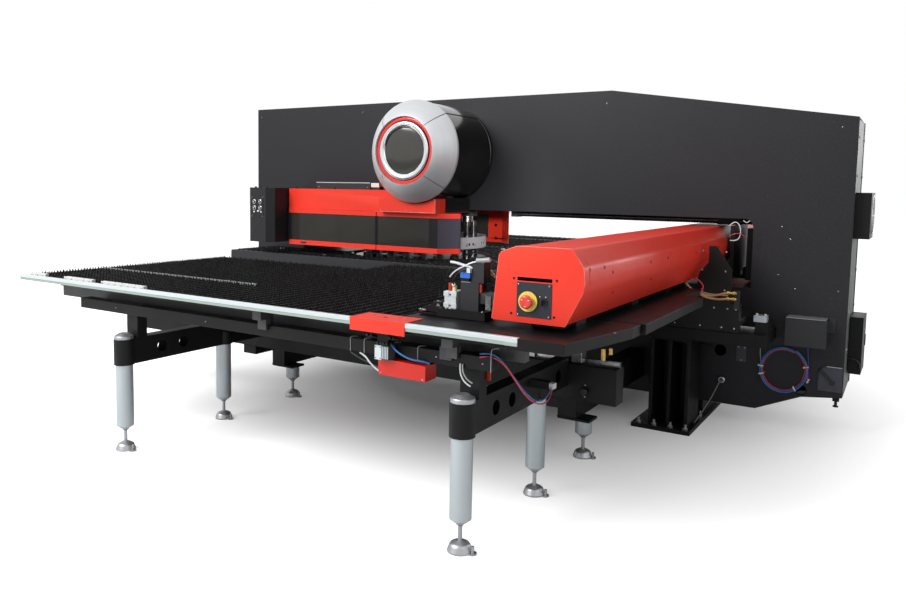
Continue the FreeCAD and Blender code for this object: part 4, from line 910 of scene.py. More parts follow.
# end gauge under the front edge
gauge = {
    "body": [
        ((0.756, -3.134, 0.950), (0.896, -3.066, 0.992), 0),             # hanger
        ((0.836, -3.126, 0.893), (0.896, -3.074, 0.952), 0),
        ((0.826, -3.134, 0.826), (0.864, -3.066, 0.893), 1),             # cylinder
        ((0.864, -3.128, 0.826), (0.902, -3.072, 0.893), 2)],
    "ribs": (4, 0.868, 0.009, 0.004), "ribY": (-3.132, -3.070), "ribZ": (0.832, 0.889),
    "fittings": [((x, -3.138 + 0.004 * (k % 2), 0.905), (x, -3.100, 0.905), 0.0065, 3, 10)
                 for k, x in enumerate((0.842, 0.858, 0.876, 0.892))],
    "elbows": [((x, -3.130, 0.935), (x + 0.012, -3.100, 0.925), 0.008, 3, 10)
               for x in (0.775, 0.800, 0.905, 0.925)],
    "bodyScrews": [(x, -3.134, z) for x in (0.832, 0.858) for z in (0.833, 0.886)],
    "box": [
        (0.823, -3.100, 0.747), (1.087, -3.100, 0.747), (1.087, -3.005, 0.747), (0.823, -3.005, 0.747),
        (0.823, -3.100, 0.826), (1.087, -3.100, 0.818), (1.087, -3.005, 0.818), (0.823, -3.005, 0.826)],
    "boxScrews": (0.838, 1.072),
}
frontBeam = {
    "cover": ((1.144, -3.072, 0.857), (1.206, -3.0595, 0.917), 0),
    # painted shade: the tabs are in the darkened red
    "tabs": [((1.222, -2.962, 0.764), (1.254, -2.950, 0.800), 1),
             ((1.314, -2.962, 0.764), (1.346, -2.950, 0.815), 1)],
    "screws": [(x, -3.060, 0.862) for x in (0.80, 1.12, 1.36, -0.40, -1.20)],
    "knob": (1.423, -1.9595, 0.513),
    "knobShape": [
        (0, 0), (0.010, 0), (0.010, 0.012), (0.022, 0.014), (0.022, 0.026), (0.018, 0.030), (0, 0.030)],
    "knobScrews": [(1.423, -1.960, 0.480), (1.423, -1.960, 0.546)],
    "staples": (0.627, 0.711, 0.881, 1.020, 1.401), "stapleTops": (0.900, 0.935), "staple": 0.0022,
}
recast("gaugeCover", "gauge_cover", "gantry", [redPaint], None, 0.004)


def makeGauge():
    bm = bmesh.new()
    addBoxes(bm, gauge["body"])
    count, x, step, wide = gauge["ribs"]
    (y0, y1), (z0, z1) = gauge["ribY"], gauge["ribZ"]
    addBoxes(bm, [((x + step * k, y0, z0), (x + wide + step * k, y1, z1), 1) for k in range(count)])
    addRods(bm, gauge["fittings"] + gauge["elbows"])
    addScrews(bm, gauge["bodyScrews"], (0, -1, 0), 0.0035, 0.002, 3)
    newPiece("gaugeCylinder", "gantry", bm, [blackPaint, bandWhite, greyCast, blackPlastic],
             ("gauge_cylinder",), 0.0015)
    # the gauge box is in the darkened red: painted shade
    bm = bmesh.new()
    addHull(bm, gauge["box"])
    for x in gauge["boxScrews"]:
        addScrew(bm, (x, -3.100, 0.757), (0, -1, 0), 0.0042, 0.003, 1)
        addScrew(bm, (x, -3.052, 0.819), (0, 0, 1), 0.0042, 0.006, 1)
    newPiece("gaugeBox", "gantry", bm, [shadedRedGauge, zincSteel], bevel=0.0025)


def makeFrontBeam():
    bm = bmesh.new()
    addBoxes(bm, [frontBeam["cover"], *frontBeam["tabs"]])
    addScrews(bm, frontBeam["screws"], (0, -1, 0), 0.004, 0.004, 2)
    addTurned(bm, frontBeam["knob"], (0, -1, 0), frontBeam["knobShape"], 8, 3)
    addScrews(bm, frontBeam["knobScrews"], (0, -1, 0), 0.005, 0.004, 2)
    newPiece("frontBeamFittings", "frame", bm, [panelGrey, shadedRed, zincSteel, blackPlastic], bevel=0.0012)
    for number, x in enumerate(frontBeam["staples"], 1):
        top = frontBeam["stapleTops"][0 if x < 1.3 else 1]
        points = [(x + 0.022, -3.030, top - 0.002), (x + 0.010, -3.052, top + 0.001),
                  (x, -3.0618, top - 0.004), (x, -3.0618, 0.880), (x, -3.0618, 0.838), (x, -3.0610, 0.828)]
        curve("beamStaple%d" % number, points, frontBeam["staple"], greyTube, "frame", resolution=4)


makeGauge()
makeFrontBeam()

smallTubes = {              # name: (body, radius, material, points)
    "gaugeBlueTube": ("gantry", 0.0045, blueTube, [
        (0.895, -3.100, 0.900), (0.915, -3.104, 0.880), (0.955, -3.106, 0.860), (1.005, -3.098, 0.840),
        (1.055, -3.080, 0.836), (1.085, -3.060, 0.826)]),
    "gaugePaleTube": ("gantry", 0.0040, paleTube, [
        (0.690, -3.066, 0.826), (0.730, -3.080, 0.822), (0.770, -3.096, 0.795), (0.812, -3.098, 0.768),
        (0.828, -3.096, 0.762)]),
    "gaugeGreyTube": ("gantry", 0.0035, greyTube, [
        (0.700, -3.062, 0.818), (0.745, -3.076, 0.806), (0.785, -3.090, 0.780), (0.828, -3.090, 0.752)]),
    "gaugeBlackTube": ("gantry", 0.0040, blackTube, [
        (0.630, -3.062, 0.822), (0.690, -3.070, 0.800), (0.760, -3.084, 0.790), (0.828, -3.084, 0.772)]),
    "beamBlueTube": ("frame", 0.0037, blueTube, [
        (1.345, -3.062, 0.905), (1.388, -3.052, 0.915), (1.420, -3.000, 0.880), (1.436, -2.900, 0.780),
        (1.440, -2.780, 0.680), (1.444, -2.640, 0.602), (1.442, -2.500, 0.612), (1.430, -2.450, 0.655)]),
    "beamRedTube": ("frame", 0.0037, redTube, [
        (1.345, -3.062, 0.890), (1.392, -3.054, 0.903), (1.428, -2.990, 0.862), (1.442, -2.890, 0.760),
        (1.446, -2.770, 0.655), (1.450, -2.630, 0.590), (1.446, -2.500, 0.590), (1.430, -2.440, 0.640)]),
    "legHoseOuter": ("frame", 0.0035, paleTube, [
        (1.250, -3.066, 0.850), (1.254, -3.076, 0.820), (1.268, -3.082, 0.792), (1.290, -3.084, 0.768),
        (1.312, -3.080, 0.758)]),
    "legHoseInner": ("frame", 0.0035, greyTube, [
        (1.262, -3.066, 0.850), (1.266, -3.074, 0.822), (1.280, -3.078, 0.800), (1.300, -3.078, 0.780),
        (1.318, -3.074, 0.772)]),
    "carriageRedTube": ("gantry", 0.0050, redTube, [
        (1.690, -0.990, 1.088), (1.742, -0.992, 1.084), (1.782, -0.992, 1.078), (1.812, -0.992, 1.050),
        (1.815, -0.992, 1.018), (1.790, -0.992, 0.986), (1.730, -0.990, 0.958)]),
    "copperHoseUpper": ("gantry", 0.0080, copperTube, [
        (1.705, -0.985, 1.050), (1.733, -0.988, 1.019), (1.752, -0.990, 1.008), (1.795, -0.990, 0.993),
        (1.839, -0.988, 0.979), (1.893, -0.986, 0.986), (1.940, -0.985, 1.003), (1.962, -0.985, 1.007)]),
    "copperHoseMiddle": ("gantry", 0.0065, copperTube, [
        (1.770, -0.975, 1.012), (1.800, -0.978, 1.000), (1.850, -0.978, 0.988), (1.905, -0.976, 0.990),
        (1.962, -0.976, 0.990)]),
    "copperHoseLower": ("gantry", 0.0080, copperTube, [
        (1.780, -0.988, 0.994), (1.800, -0.990, 0.984), (1.839, -0.990, 0.968), (1.905, -0.988, 0.962),
        (1.940, -0.986, 0.968), (1.962, -0.985, 0.971)]),
    "coverEndLoop": ("gantry", 0.0038, paleTube, [
        (1.840, -0.420, 1.400), (1.862, -0.422, 1.424), (1.892, -0.422, 1.428), (1.916, -0.422, 1.388),
        (1.914, -0.422, 1.325), (1.888, -0.420, 1.298), (1.850, -0.418, 1.300)]),
    "coverEndRedWire": ("gantry", 0.0026, redTube, [
        (1.845, -0.430, 1.330), (1.880, -0.432, 1.352), (1.925, -0.432, 1.350), (1.945, -0.430, 1.330)]),
    "coverEndWhiteWire": ("gantry", 0.0028, paleTube, [
        (1.930, -0.420, 1.440), (1.945, -0.422, 1.424), (1.962, -0.422, 1.430), (1.970, -0.420, 1.440)]),
    "coilBlueTail": ("frame", 0.0060, darkBlueTube, [
        (2.352, -0.312, 0.625), (2.358, -0.316, 0.560), (2.366, -0.316, 0.480), (2.372, -0.314, 0.390)]),
    "coilRedTail": ("frame", 0.0035, redTube, [
        (2.345, -0.332, 0.500), (2.358, -0.332, 0.450), (2.364, -0.328, 0.400), (2.366, -0.320, 0.372)]),
    "coilGreyTail": ("frame", 0.0035, greyTube, [
        (2.066, -0.318, 0.625), (2.062, -0.324, 0.560), (2.066, -0.324, 0.500), (2.074, -0.318, 0.440)]),
    "cabinetCableLoop": ("frame", 0.0055, blackTube, [
        (2.572, -0.014, 0.500), (2.595, -0.018, 0.508), (2.625, -0.018, 0.500), (2.646, -0.016, 0.478),
        (2.648, -0.010, 0.448), (2.640, 0.002, 0.440)]),
}
for name, (body, radius, material, points) in smallTubes.items():
    curve(name, points, radius, material, body)

tubeEnds = {
    "union": [((1.322, -2.475, 0.628), (1.424, -2.425, 0.668), 2),
              ((1.420, -2.468, 0.634), (1.448, -2.432, 0.662), 3)],
    "glands": [((x, -0.299, z), (x, -0.326, z), 0.008, 1, 12)
               for x, z in ((2.366, 0.368), (2.372, 0.384), (2.074, 0.436))],
    "earthPort": (1.818, -0.3215, 0.304),
    "earthRing": [
        (0, 0), (0.024, 0), (0.024, 0.002), (0.020, 0.006), (0.012, 0.006), (0.010, 0.001), (0, 0.001)],
    "ferruleLevels": (1.007, 0.971), "ferruleY": -0.985,
    "ferrule": [                                     # start and end in x, radius, sides
        (1.956, 1.974, 0.0105, 6), (1.974, 1.990, 0.0085, 16), (1.990, 2.006, 0.0115, 6),
        (2.006, 2.014, 0.0080, 16)],
    "stub": (2.012, -0.955, 0.0075),
    "bulkhead": ((1.996, -0.968, 0.905), (2.028, -0.955, 1.022), 1),
}


def makeTubeEnds():
    bm = bmesh.new()
    addBoxes(bm, tubeEnds["union"])
    addRods(bm, tubeEnds["glands"])
    addTurned(bm, tubeEnds["earthPort"], (0, -1, 0), tubeEnds["earthRing"], 28, [1, 1, 1, 1, 2, 2])
    newPiece("tubeFittings", "frame", bm, [blackPaint, zincSteel, blackPlastic, whitePlastic], bevel=0.0012)
    bm = bmesh.new()
    y = tubeEnds["ferruleY"]
    for z in tubeEnds["ferruleLevels"]:
        for x0, x1, radius, sides in tubeEnds["ferrule"]:
            addRod(bm, (x0, y, z), (x1, y, z), radius, 0, sides)
        x, y1, radius = tubeEnds["stub"]
        addRod(bm, (x, y, z), (x, y1, z), radius, 1, 12)
    addBox(bm, *tubeEnds["bulkhead"])
    newPiece("hoseFerrules", "gantry", bm, [brass, boxGrey], bevel=0.0010)


makeTubeEnds()
print("gauge and tubes")

# hose coil: two thin tubes wound together, tied to the plate
coil = {
    "centre": (2.213, 0.433), "radius": (0.1415, 0.1500), "level": -0.3140, "turns": 2, "steps": 16,
    "start": 60, "tube": 0.0031, "waver": 0.0030, "spread": 0.0084, "inset": 0.007, "rise": 0.003,
    "tubes": (("coilBlue", blueTube, 0.003, -0.012), ("coilRed", redTube, -0.0055, -0.002)),
    "ties": [(2.094, 0.442), (2.099, 0.396), (2.357, 0.469), (2.286, 0.316)], "tie": 0.004,
    "tieParts": (                                    # near and far from the coil's line, then the depths
        (-0.019, 0.014, -0.3335, -0.3315), (-0.019, -0.017, -0.3320, -0.300),
        (0.012, 0.014, -0.3320, -0.300)),
}


def makeCoil():
    x, z = coil["centre"]
    wide, high = coil["radius"]
    steps = coil["steps"]
    for name, material, shift, depth in coil["tubes"]:
        points = []
        for k in range(coil["turns"] * steps + 1):
            a = math.radians(coil["start"]) + 2 * math.pi * k / steps
            waver = coil["waver"] * math.sin(2 * a + 40 * shift)
            r = shift + waver + coil["spread"] * (k / steps) - coil["inset"]
            y = coil["level"] + depth - coil["rise"] * (k / steps)
            points.append((x + (wide + r) * math.cos(a), y, z + (high + r) * math.sin(a)))
        curve(name, points, coil["tube"], material, "frame", resolution=4)
    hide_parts("hose_coil")
    bm = bmesh.new()
    half = coil["tie"]
    for tx, tz in coil["ties"]:
        out = Vector((tx - x, 0, tz - z)).normalized()
        across = Vector((-out.z, 0, out.x))
        base = Vector((x, 0, z)) + out * (wide + half)
        for near, far, y0, y1 in coil["tieParts"]:
            places = [base + out * d + across * s for s in (-half, half) for d in (near, far)]
            addHull(bm, [(at.x, y, at.z) for at in places for y in (y0, y1)])
    newPiece("coilTies", "frame", bm, [whitePlastic])


makeCoil()
print("hose coil")

# sheet clamps on the carriage: every place is from the clamp's own middle line
clamp = {
    "lines": (-2.870, -1.950, -1.030), "valve": (1.067, 1.131), "low": 1.0645,
    "plates": [
        ((1.2080, -0.033, 1.2895), (1.2710, 0.033, 1.2935), 0),
        ((1.1560, -0.039, 1.1945), (1.2060, 0.039, 1.1985), 0),
        *(((1.284 + 0.0046 * k, -0.034, 1.073), (1.2862 + 0.0046 * k, 0.034, 1.140), 0) for k in range(6)),
        ((1.283, -0.030, 1.076), (1.3105, 0.030, 1.100), 0),
        *(((x, -0.0430, z), (x + 0.028, -0.0370, z + 0.022), 5)
          for z in (1.068, 1.122) for x in (1.0640, 1.1060))],
    "valveScrews": [(1.099, -0.0400, 1.130), (1.099, -0.0400, 1.078)],
    "glands": [
        ((1.112, -0.020, 1.145), (1.112, -0.020, 1.170), 0.0110, 1, 12),
        ((1.112, -0.020, 1.168), (1.112, -0.034, 1.180), 0.0090, 1, 12),
        ((1.086, -0.015, 1.145), (1.086, -0.015, 1.182), 0.0100, 6, 12)],
    "fittings": [
        ((1.155, -0.046, 1.215), (1.206, -0.020, 1.238), 2),
        ((1.162, -0.050, 1.236), (1.172, -0.024, 1.243), 2),
        ((1.184, -0.050, 1.236), (1.194, -0.024, 1.243), 2),
        ((1.160, -0.044, 1.1985), (1.200, 0.030, 1.218), 3),
        ((1.190, -0.050, 1.240), (1.208, -0.030, 1.262), 5)],
    "silencers": [
        ((1.2700, -0.040, 1.302), (1.2700, 0.010, 1.302), 0.0120, 4, 16),
        ((1.235, -0.036, 1.300), (1.305, -0.036, 1.306), 0.0105, 4, 16)],
    "screws": [(1.082, -0.047, 1.0635), (1.105, -0.047, 1.0635), (1.275, -0.047, 1.0635)],
    # painted shade: the tag is in the darkened red
    "redTag": ((1.240, -0.034, 1.150), (1.262, -0.020, 1.190), 6),
    "tubes": {                                       # name: (material, radius, points)
        "White": (paleTube, 0.0065, [
            (1.099, -0.040, 1.285), (1.125, -0.040, 1.284), (1.155, -0.038, 1.277), (1.192, -0.036, 1.269),
            (1.210, -0.030, 1.262)]),
        "Silver": (paleTube, 0.0038, [
            (1.096, -0.040, 1.214), (1.112, -0.042, 1.234), (1.140, -0.042, 1.254), (1.170, -0.040, 1.268),
            (1.205, -0.038, 1.288), (1.240, -0.036, 1.2955)]),
        "Black": (blackTube, 0.0038, [
            (1.112, -0.034, 1.180), (1.118, -0.044, 1.205), (1.140, -0.048, 1.232), (1.165, -0.046, 1.252),
            (1.200, -0.040, 1.262)]),
        "Return": (blackTube, 0.0050, [
            (1.270, 0.008, 1.302), (1.300, 0.020, 1.300), (1.340, 0.028, 1.262), (1.372, 0.030, 1.225),
            (1.384, 0.030, 1.210)]),
        "Brown": (copperTube, 0.0030, [
            (1.225, 0.032, 1.272), (1.254, 0.044, 1.262), (1.276, 0.048, 1.240), (1.294, 0.048, 1.218),
            (1.340, 0.040, 1.200), (1.382, 0.030, 1.190)]),
        "Tan": (copperTube, 0.0026, [
            (1.225, 0.030, 1.258), (1.250, 0.042, 1.250), (1.270, 0.048, 1.232), (1.290, 0.048, 1.212),
            (1.340, 0.042, 1.192), (1.382, 0.034, 1.184)]),
        "Cream": (wireGrey, 0.0028, [
            (1.217, 0.030, 1.228), (1.250, 0.046, 1.230), (1.290, 0.050, 1.224), (1.330, 0.042, 1.205),
            (1.382, 0.034, 1.195)]),
    },
}


def clampPick(low, high, centre, normal):
    if low[0] > clamp["valve"][0] and high[0] < clamp["valve"][1]:
        return 1
    return 2 if centre.z < clamp["low"] else 0


recast("clampCarriage", "clamp_carriage", "clamps", [boxGrey, bandWhite, blackPaint], clampPick, 0.002)


def atLine(places, line):
    return [(x, line + y, z) for x, y, z in places]


def makeClampFittings():
    bm = bmesh.new()
    for line in clamp["lines"]:
        addBoxes(bm, clamp["plates"], line)
        addScrews(bm, atLine(clamp["valveScrews"], line), (0, -1, 0), 0.0045, 0.003, 3, 8)
        addRods(bm, clamp["glands"], line)
        addBoxes(bm, clamp["fittings"], line)
        addRods(bm, clamp["silencers"], line)
        addScrews(bm, atLine(clamp["screws"], line), (0, 0, 1), 0.005, 0.005, 0, 8)
        addBoxes(bm, [clamp["redTag"]], line)
    materials = [zincSteel, creamPlastic, bluePlastic, blackPaint, greyTube, bandWhite, shadedRed]
    newPiece("clampFittings", "clamps", bm, materials, bevel=0.0008)
    for number, line in enumerate(clamp["lines"], 1):
        for name, (material, radius, points) in clamp["tubes"].items():
            points = atLine(points, line)
            curve("clamp%d%sTube" % (number, name), points, radius, material, "clamps", resolution=4)


makeClampFittings()

jaw = {
    "side": [
        (0.931, 1.043), (0.931, 1.049), (0.958, 1.060), (0.992, 1.074), (1.018, 1.092), (1.056, 1.092),
        (1.056, 1.043)],
    "cheeks": ((-0.050, -0.016), (0.016, 0.050)),
    "lip": ((0.931, -0.051, 1.0425), (0.972, 0.051, 1.050), 1),
    "pins": [
        ((1.040, -0.0515, 1.072), (1.040, 0.0515, 1.072), 0.009, 1, 16),
        ((1.006, -0.018, 1.066), (1.006, 0.018, 1.066), 0.007, 1, 12)],
    "screwLines": (-0.033, 0.033), "frontScrew": ((0.982, 1.066), (-0.5, 0, 0.87)),
    "topScrew": ((1.030, 1.0915), (0, 0, 1)),
}


def makeJaw(number, line):
    bm = bmesh.new()
    count = len(jaw["side"])
    for near, far in jaw["cheeks"]:
        first, second = ([bm.verts.new((x, line + y, z)) for x, z in jaw["side"]] for y in (near, far))
        bm.faces.new(first)
        bm.faces.new(second)
        for k in range(count):
            bm.faces.new((first[k], first[(k + 1) % count], second[(k + 1) % count], second[k]))
    addBoxes(bm, [jaw["lip"]], line)
    addRods(bm, jaw["pins"], line)
    for y in jaw["screwLines"]:
        for (x, z), normal in (jaw["frontScrew"], jaw["topScrew"]):
            addScrew(bm, (x, line + y, z), normal, 0.006, 0.006, 1, 8)
    node = "clamp_jaw_%d" % number
    newPiece("clampJaw%d" % number, "jaw_%d" % number, bm, [blackPaint, groundSteel], (node,), 0.0015)


for number, line in enumerate(clamp["lines"], 1):
    makeJaw(number, line)
print("clamps")

# ball screws: (body, lead, depth, sides, starts); the gantry screw's node also holds its end housings
thread = {
    "gantry_ball_screw": ("gantry_screw", 0.040, 0.0045, 18, 2),
    "cross_ball_screw": ("cross_screw", 0.020, 0.002, 12, 1),
}
gantryThread = {"radius": 0.0243, "line": (0, 1.420)}


def makeThread(node, body, lead, depth, sides, starts):
    low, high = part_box(node)
    size = high - low
    axis = max(range(3), key=lambda i: size[i])
    a, b = [i for i in range(3) if i != axis]
    radius = min(size[a], size[b]) / 2
    centre = (low + high) / 2
    if node == "gantry_ball_screw":
        radius = gantryThread["radius"]
        centre[a], centre[b] = gantryThread["line"]
    rings = int(size[axis] / (lead / 10))
    points = []
    for k in range(rings + 1):
        along = low[axis] + size[axis] * k / rings
        for i in range(sides):
            angle = 2 * math.pi * i / sides
            phase = math.cos(4 * math.pi * along / lead - angle * starts)
            r = radius - depth * (0.5 - 0.5 * max(-1, min(1, 2.2 * phase)))
            place = [0, 0, 0]
            place[axis] = along
            place[a] = centre[a] + r * math.cos(angle)
            place[b] = centre[b] + r * math.sin(angle)
            points.append(tuple(place))
    faces = []
    for k in range(rings):
        low, high = k * sides, (k + 1) * sides
        faces += [(low + i, low + (i + 1) % sides, high + (i + 1) % sides, high + i) for i in range(sides)]
    faces += [tuple(range(sides)), tuple(rings * sides + i for i in range(sides))]
    mesh = bpy.data.meshes.new(node + "Thread")
    mesh.from_pydata(points, [], faces)
    placePiece(node.title().replace("_", "") + "Thread", body, mesh, [toolSteel], (node,), angle=80)


for node, values in thread.items():
    makeThread(node, *values)

turret = {
    "centre": (-0.940, 0.0), "radius": 0.600, "stations": 18, "hole": 0.0120,
    "holes": (("upperTurretHoles", "upper_turret", 1.140, (-0.026, 0.026)),
              ("lowerTurretHoles", "lower_turret", 0.955, (0,))),
}


def makeTurretHoles():
    x, y = turret["centre"]
    r = turret["radius"]
    for name, body, z, shifts in turret["holes"]:
        bm = bmesh.new()
        for k in range(turret["stations"]):
            for shift in shifts:
                a = 2 * math.pi * (k + 0.5) / turret["stations"] + shift / r
                out = (math.cos(a), math.sin(a), 0)
                # the black discs are painted shade for the insides of the turret's holes
                addDish(bm, (x + r * out[0], y + r * out[1], z), out, turret["hole"], 0, 1, 14, 1.12, 0.0010)
        newPiece(name, body, bm, [turretSteel, blackPaint])


makeTurretHoles()
print("turret")

# frame: screws, small plates and rear fittings
sidePlate = {
    "face": 0.3, "screw": (0.0042, 0.002),
    "screws": [
        (2.155, 1.402), (2.212, 1.318), (2.148, 1.076), (2.256, 0.987), (2.514, 0.992), (2.098, 0.703),
        (-2.660, 2.300), (-2.660, 0.300), (0.900, 2.280), (2.480, 2.060), (-1.400, 2.300)],
    "hole": 0.0048, "holes": [(2.477, 0.942), (2.479, 0.905), (2.525, 0.943), (2.524, 0.909)],
    # painted highlight: a thin silver rod along the plates' lower edges
    "lowerEdgeHighlight": [(1.750, 0.1310), (2.042, 0.1310), (2.329, 0.2580), (2.400, 0.2660)], "edge": 0.0020,
    "accessX": (1.907, 1.972), "accessZ": (0.448, 0.561), "accessThick": 0.007,
    "accessScrews": [(1.918, 0.550), (1.961, 0.550), (1.940, 0.458)],
    "anchors": [(1.375, 0.765), (1.480, 0.765), (1.590, 0.765), (1.690, 0.765), (1.375, 0.36), (1.690, 0.36)],
    "anchorParts": ((0.068, 0.010, 12), (0.046, 0.018, 6)),  # top, radius, sides
    "anchorFoot": 0.028,
    "ledgeScrews": (1.36, 1.52, 1.68, 1.84, 2.00), "ledge": (0.742, 0.690),
    "rearScrews": [(2.5755, y, z) for z in (0.40, 0.60, 0.85, 1.10, 1.75, 2.00) for y in (-0.235, 0.235)],
}


def makeFrameScrews():
    bm = bmesh.new()
    for side in (-1, 1):
        y, out = sidePlate["face"] * side, (0, side, 0)
        addScrews(bm, [(x, y, z) for x, z in sidePlate["screws"]], out, *sidePlate["screw"])
        for x, z in sidePlate["holes"]:
            addDish(bm, (x, y, z), out, sidePlate["hole"], 1, 1, 12, 1.1, 0.0008)
        # painted highlight along the lower edge
        for (x0, z0), (x1, z1) in zip(sidePlate["lowerEdgeHighlight"], sidePlate["lowerEdgeHighlight"][1:]):
            addRod(bm, (x0, y, z0), (x1, y, z1), sidePlate["edge"], 2, 6)
        (x0, x1), (z0, z1) = sidePlate["accessX"], sidePlate["accessZ"]
        y0, y1 = span(side, sidePlate["face"], sidePlate["face"] + sidePlate["accessThick"])
        addBox(bm, (x0, y0, z0), (x1, y1, z1), 1)
        addScrews(bm, [(x, y + 0.006 * side, z) for x, z in sidePlate["accessScrews"]], out, 0.005, 0.003)
        for x, near in sidePlate["anchors"]:
            for top, radius, sides in sidePlate["anchorParts"]:
                addRod(bm, (x, near * side, sidePlate["anchorFoot"]), (x, near * side, top), radius, 0, sides)
        near, z = sidePlate["ledge"]
        addScrews(bm, [(x, near * side, z) for x in sidePlate["ledgeScrews"]], out, 0.0055, 0.004)
    addScrews(bm, sidePlate["rearScrews"], (1, 0, 0), 0.010, 0.006)
    newPiece("frameScrews", "frame", bm, [zincSteel, panelGrey, castSilver])


makeFrameScrews()

sideBoxes = {
    "lidLine": ((2.229, -0.4405, 0.8085), (2.466, -0.3035, 0.8115), 0),
    "port": (2.512, -0.313, 0.383),
    "portShape": [(0, 0), (0.014, 0), (0.014, 0.003), (0.010, 0.005), (0.0, 0.005)],
    "panelTrim": [                                   # black trim round the panel
        ((2.4225, -0.3150, 0.318), (2.4275, -0.3130, 0.440), 1),
        ((2.470, -0.3150, 0.4855), (2.566, -0.3130, 0.4900), 0)],
    "corner": (2.475, -0.3145, 0.438), "cornerRadius": 0.050, "cornerTurn": 11.25, "cornerRod": 0.0028,
    "doorScrews": [(2.6562, 0.265, 0.43), (2.6562, 0.265, 0.59), (2.6562, 0.265, 0.75)],
    "doorPull": ((2.656, 0.262, 0.56), (2.6615, 0.280, 0.64), 1),
}


def makeSideBoxes():
    bm = bmesh.new()
    addBox(bm, *sideBoxes["lidLine"])
    addTurned(bm, sideBoxes["port"], (0, -1, 0), sideBoxes["portShape"], 24, 1)
    addBoxes(bm, sideBoxes["panelTrim"])
    x, y, z = sideBoxes["corner"]
    r = sideBoxes["cornerRadius"]
    bend = [math.radians(90 + sideBoxes["cornerTurn"] * k) for k in range(9)]
    for a, b in zip(bend, bend[1:]):
        start, end = ((x + r * math.cos(turn), y, z + r * math.sin(turn)) for turn in (a, b))
        addRod(bm, start, end, sideBoxes["cornerRod"], 1, 8)
    newPiece("sideTrim", "frame", bm, [castSilver, blackPlastic], bevel=0.0008)
    recast("sideFittings", "side_fittings", "frame", [boxGrey, panelGrey],
           lambda low, high, centre, normal: 1 if high[2] < 0.5 and low[0] > 2.4 else 0, 0.003,
           lambda low, high: high[2] > 1.66)
    recast("isolatorLever", "isolator_lever", "isolator", [blackPlastic], None, 0.002)
    recast("fanBox", "fan_box", "frame", [blackPaint, bezelMetal],
           lambda low, high, centre, normal: 1 if low[0] > 2.66 else 0, 0.0015)
    recast("fanRotor", "fan_rotor", "fan", [fanPlastic], None, 0.0008)
    bm = bmesh.new()
    addScrews(bm, sideBoxes["doorScrews"], (1, 0, 0), 0.007, 0.0008)
    addBox(bm, *sideBoxes["doorPull"])
    newPiece("cabinetDoorFittings", "cabinet_door", bm, [zincSteel, blackPlastic], bevel=0.0006)


makeSideBoxes()

armHoles = {"rows": (2.840, 2.670, 2.100), "level": 0.609, "radius": 0.0375}


# painted shade: the walls of the arms' through holes are painted near-black
def armPick(low, high, centre, normal):
    across = [math.dist((abs(centre.y), centre.z), (row, armHoles["level"])) for row in armHoles["rows"]]
    return 1 if abs(normal.x) < 0.5 and min(across) < armHoles["radius"] else 0


recast("supportArms", "support_arms", "frame", [blackPaint, holeShadeBlack], armPick, 0.003)

rails = {
    "line": 0.600, "screws": [-0.35 + 0.16 * k for k in range(15)],
    "stop": (2.072, 2.084, 0.722, 0.752), "stopY": (0.585, 0.615),
    "bumper": (2.072, 2.150, 0.800, 0.842), "bumperY": (0.640, 0.705), "bumperScrews": (2.085, 2.135),
    "truckRows": [(0.785, (1.325, 1.48, 1.64, 1.80, 1.93, 2.005)), (0.905, (1.80, 1.88, 1.96, 2.01))],
    "truckSide": 0.965,
    "truckGrid": [(x, z) for x in (1.80, 1.94) for z in (1.02, 1.14, 1.26)], "truckFace": 0.975,
    "deckGrid": [(x, y) for x in (0.94, 1.14, 1.30, 1.86) for y in (1.2, 2.0, 2.8)],
}


def makeRailDetails():
    bm = bmesh.new()
    for side in (-1, 1):
        places = [(x, rails["line"] * side, 0.750) for x in rails["screws"]]
        addScrews(bm, places, (0, 0, 1), 0.006, 0.0015, 1)
        for part in ("stop", "bumper"):
            x0, x1, z0, z1 = rails[part]
            y0, y1 = span(side, *rails[part + "Y"])
            addBox(bm, (x0, y0, z0), (x1, y1, z1))
        addScrews(bm, [(x, 0.672 * side, 0.841) for x in rails["bumperScrews"]], (0, 0, 1), 0.011, 0.012, 1)
    newPiece("ledgeStops", "frame", bm, [silverPaint, zincSteel], bevel=0.0015)
    bm = bmesh.new()
    for side in (-1, 1):
        for z, row in rails["truckRows"]:
            addScrews(bm, [(x, rails["truckSide"] * side, z) for x in row], (0, side, 0), 0.0055, 0.004)
        places = [(x, rails["truckFace"] * side, z) for x, z in rails["truckGrid"]]
        addScrews(bm, places, (0, side, 0), 0.0055, 0.004)
        addScrews(bm, [(x, y * side, 1.0195) for x, y in rails["deckGrid"]], (0, 0, 1), 0.007, 0.0015)
    newPiece("gantryScrews", "gantry", bm, [zincSteel])


makeRailDetails()

under = {
    "line": 2.200, "posts": [(1.605, 0.815, 0.755, 0.012, 12), (1.644, 0.822, 0.790, 0.010, 6)],
    "feet": [(x, y, 0.1225) for x in (-1.087, 1.280) for y in (3.09, 2.29, 1.58)],
    "nut": [(0, 0), (0.018, 0), (0.018, 0.012), (0, 0.012)],
}


def makeUnderDetails():
    bm = bmesh.new()
    for side in (-1, 1):
        y = under["line"] * side
        for x, top, low, radius, sides in under["posts"]:
            addRod(bm, (x, y, top), (x, y, low), radius, 0, sides)
        for x, y, z in under["feet"]:
            addTurned(bm, (x, y * side, z), (0, 0, 1), under["nut"], 6, 2)
    newPiece("underFittings", "frame", bm, [brass, zincSteel, blackPaint])


makeUnderDetails()
print("frame and rails")

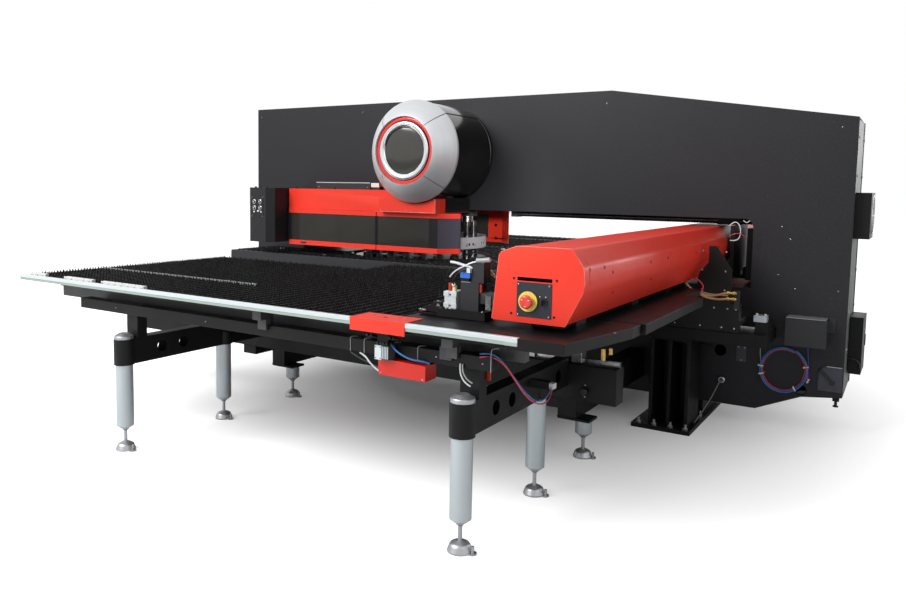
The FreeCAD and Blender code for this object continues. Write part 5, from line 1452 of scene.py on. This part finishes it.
# stage and light
studio = {
    "floor": 0.86, "liftNear": 0.04, "liftFar": 0.75, "nearBy": 1.1, "farOff": 3.6, "sky": 0.48,
    "softboxes": (                                   # name, place, aim, size, power
        ("keyBox", (-3.5, -8.5, 6.5), (0, -0.5, 1), (5, 4), 860),
        ("fillBox", (7.5, -5, 5), (1, 0, 1), (4, 4), 40),
        ("rimBox", (5.2, 5.4, 2.3), (1.8, -2.6, 1.25), (0.7, 0.8), 40)),
    "spotPlace": (3.2, -6.5, 2.2), "spotAim": (-0.45, 0.75, 1.22), "spot": 1800, "spotWide": 9,
    "spotBlend": 0.5, "spotRadius": 0.25,
}


def makeStage():
    bpy.ops.mesh.primitive_plane_add(size=80, location=(0, 0, 0))
    floor = bpy.context.object
    floor.name = "floor"
    material, tree, shader, place = nodeTree("floor")
    grey = studio["floor"]
    setInputs(shader, {"Base Color": (grey, grey, grey, 1), "Roughness": 0.8, "Specular IOR Level": 0.2,
                       "Emission Color": (1, 1, 1, 1)})
    away = tree.nodes.new("ShaderNodeVectorMath")
    away.operation = "LENGTH"
    tree.links.new(place.outputs["Object"], away.inputs[0])
    rays = tree.nodes.new("ShaderNodeLightPath")
    # painted shade: the floor's glow for camera rays is weak near the middle and strong far off, so the floor
    # darkens towards the machine on top of the lamps' real shadow
    glow = ramp(tree, away.outputs["Value"], studio["liftNear"], studio["liftFar"], studio["nearBy"],
                studio["farOff"])
    lift = combine(tree, "MULTIPLY", rays.outputs["Is Camera Ray"], glow)
    tree.links.new(lift, shader.inputs["Emission Strength"])
    floor.data.materials.append(material)


def makeWorld():
    world = bpy.data.worlds.new("studio")
    bpy.context.scene.world = world
    world.use_nodes = True
    tree = world.node_tree
    back = tree.nodes["Background"]
    setInputs(back, {"Color": (1, 1, 1, 1)})
    rays = tree.nodes.new("ShaderNodeLightPath")
    seen = rays.outputs["Is Camera Ray"]
    for ray in ("Is Glossy Ray", "Is Transmission Ray"):
        seen = combine(tree, "MAXIMUM", seen, rays.outputs[ray])
    tree.links.new(ramp(tree, seen, studio["sky"], 1.0, 0, 1), back.inputs["Strength"])


def hang(name, data, power, place, aim):
    data.energy = power
    lamp = bpy.data.objects.new(name, data)
    bpy.context.scene.collection.objects.link(lamp)
    lamp.location = place
    lamp.rotation_euler = (Vector(aim) - Vector(place)).to_track_quat("-Z", "Y").to_euler()


makeStage()
makeWorld()
for name, place, aim, size, power in studio["softboxes"]:
    softbox = bpy.data.lights.new(name, "AREA")
    softbox.shape = "RECTANGLE"
    softbox.size, softbox.size_y = size
    hang(name, softbox, power, place, aim)
spot = bpy.data.lights.new("throatSpot", "SPOT")
spot.spot_size = math.radians(studio["spotWide"])
spot.spot_blend = studio["spotBlend"]
spot.shadow_soft_size = studio["spotRadius"]
hang("throatSpot", spot, studio["spot"], studio["spotPlace"], studio["spotAim"])
bpy.context.scene.view_settings.view_transform = "Standard"
print("stage and light")
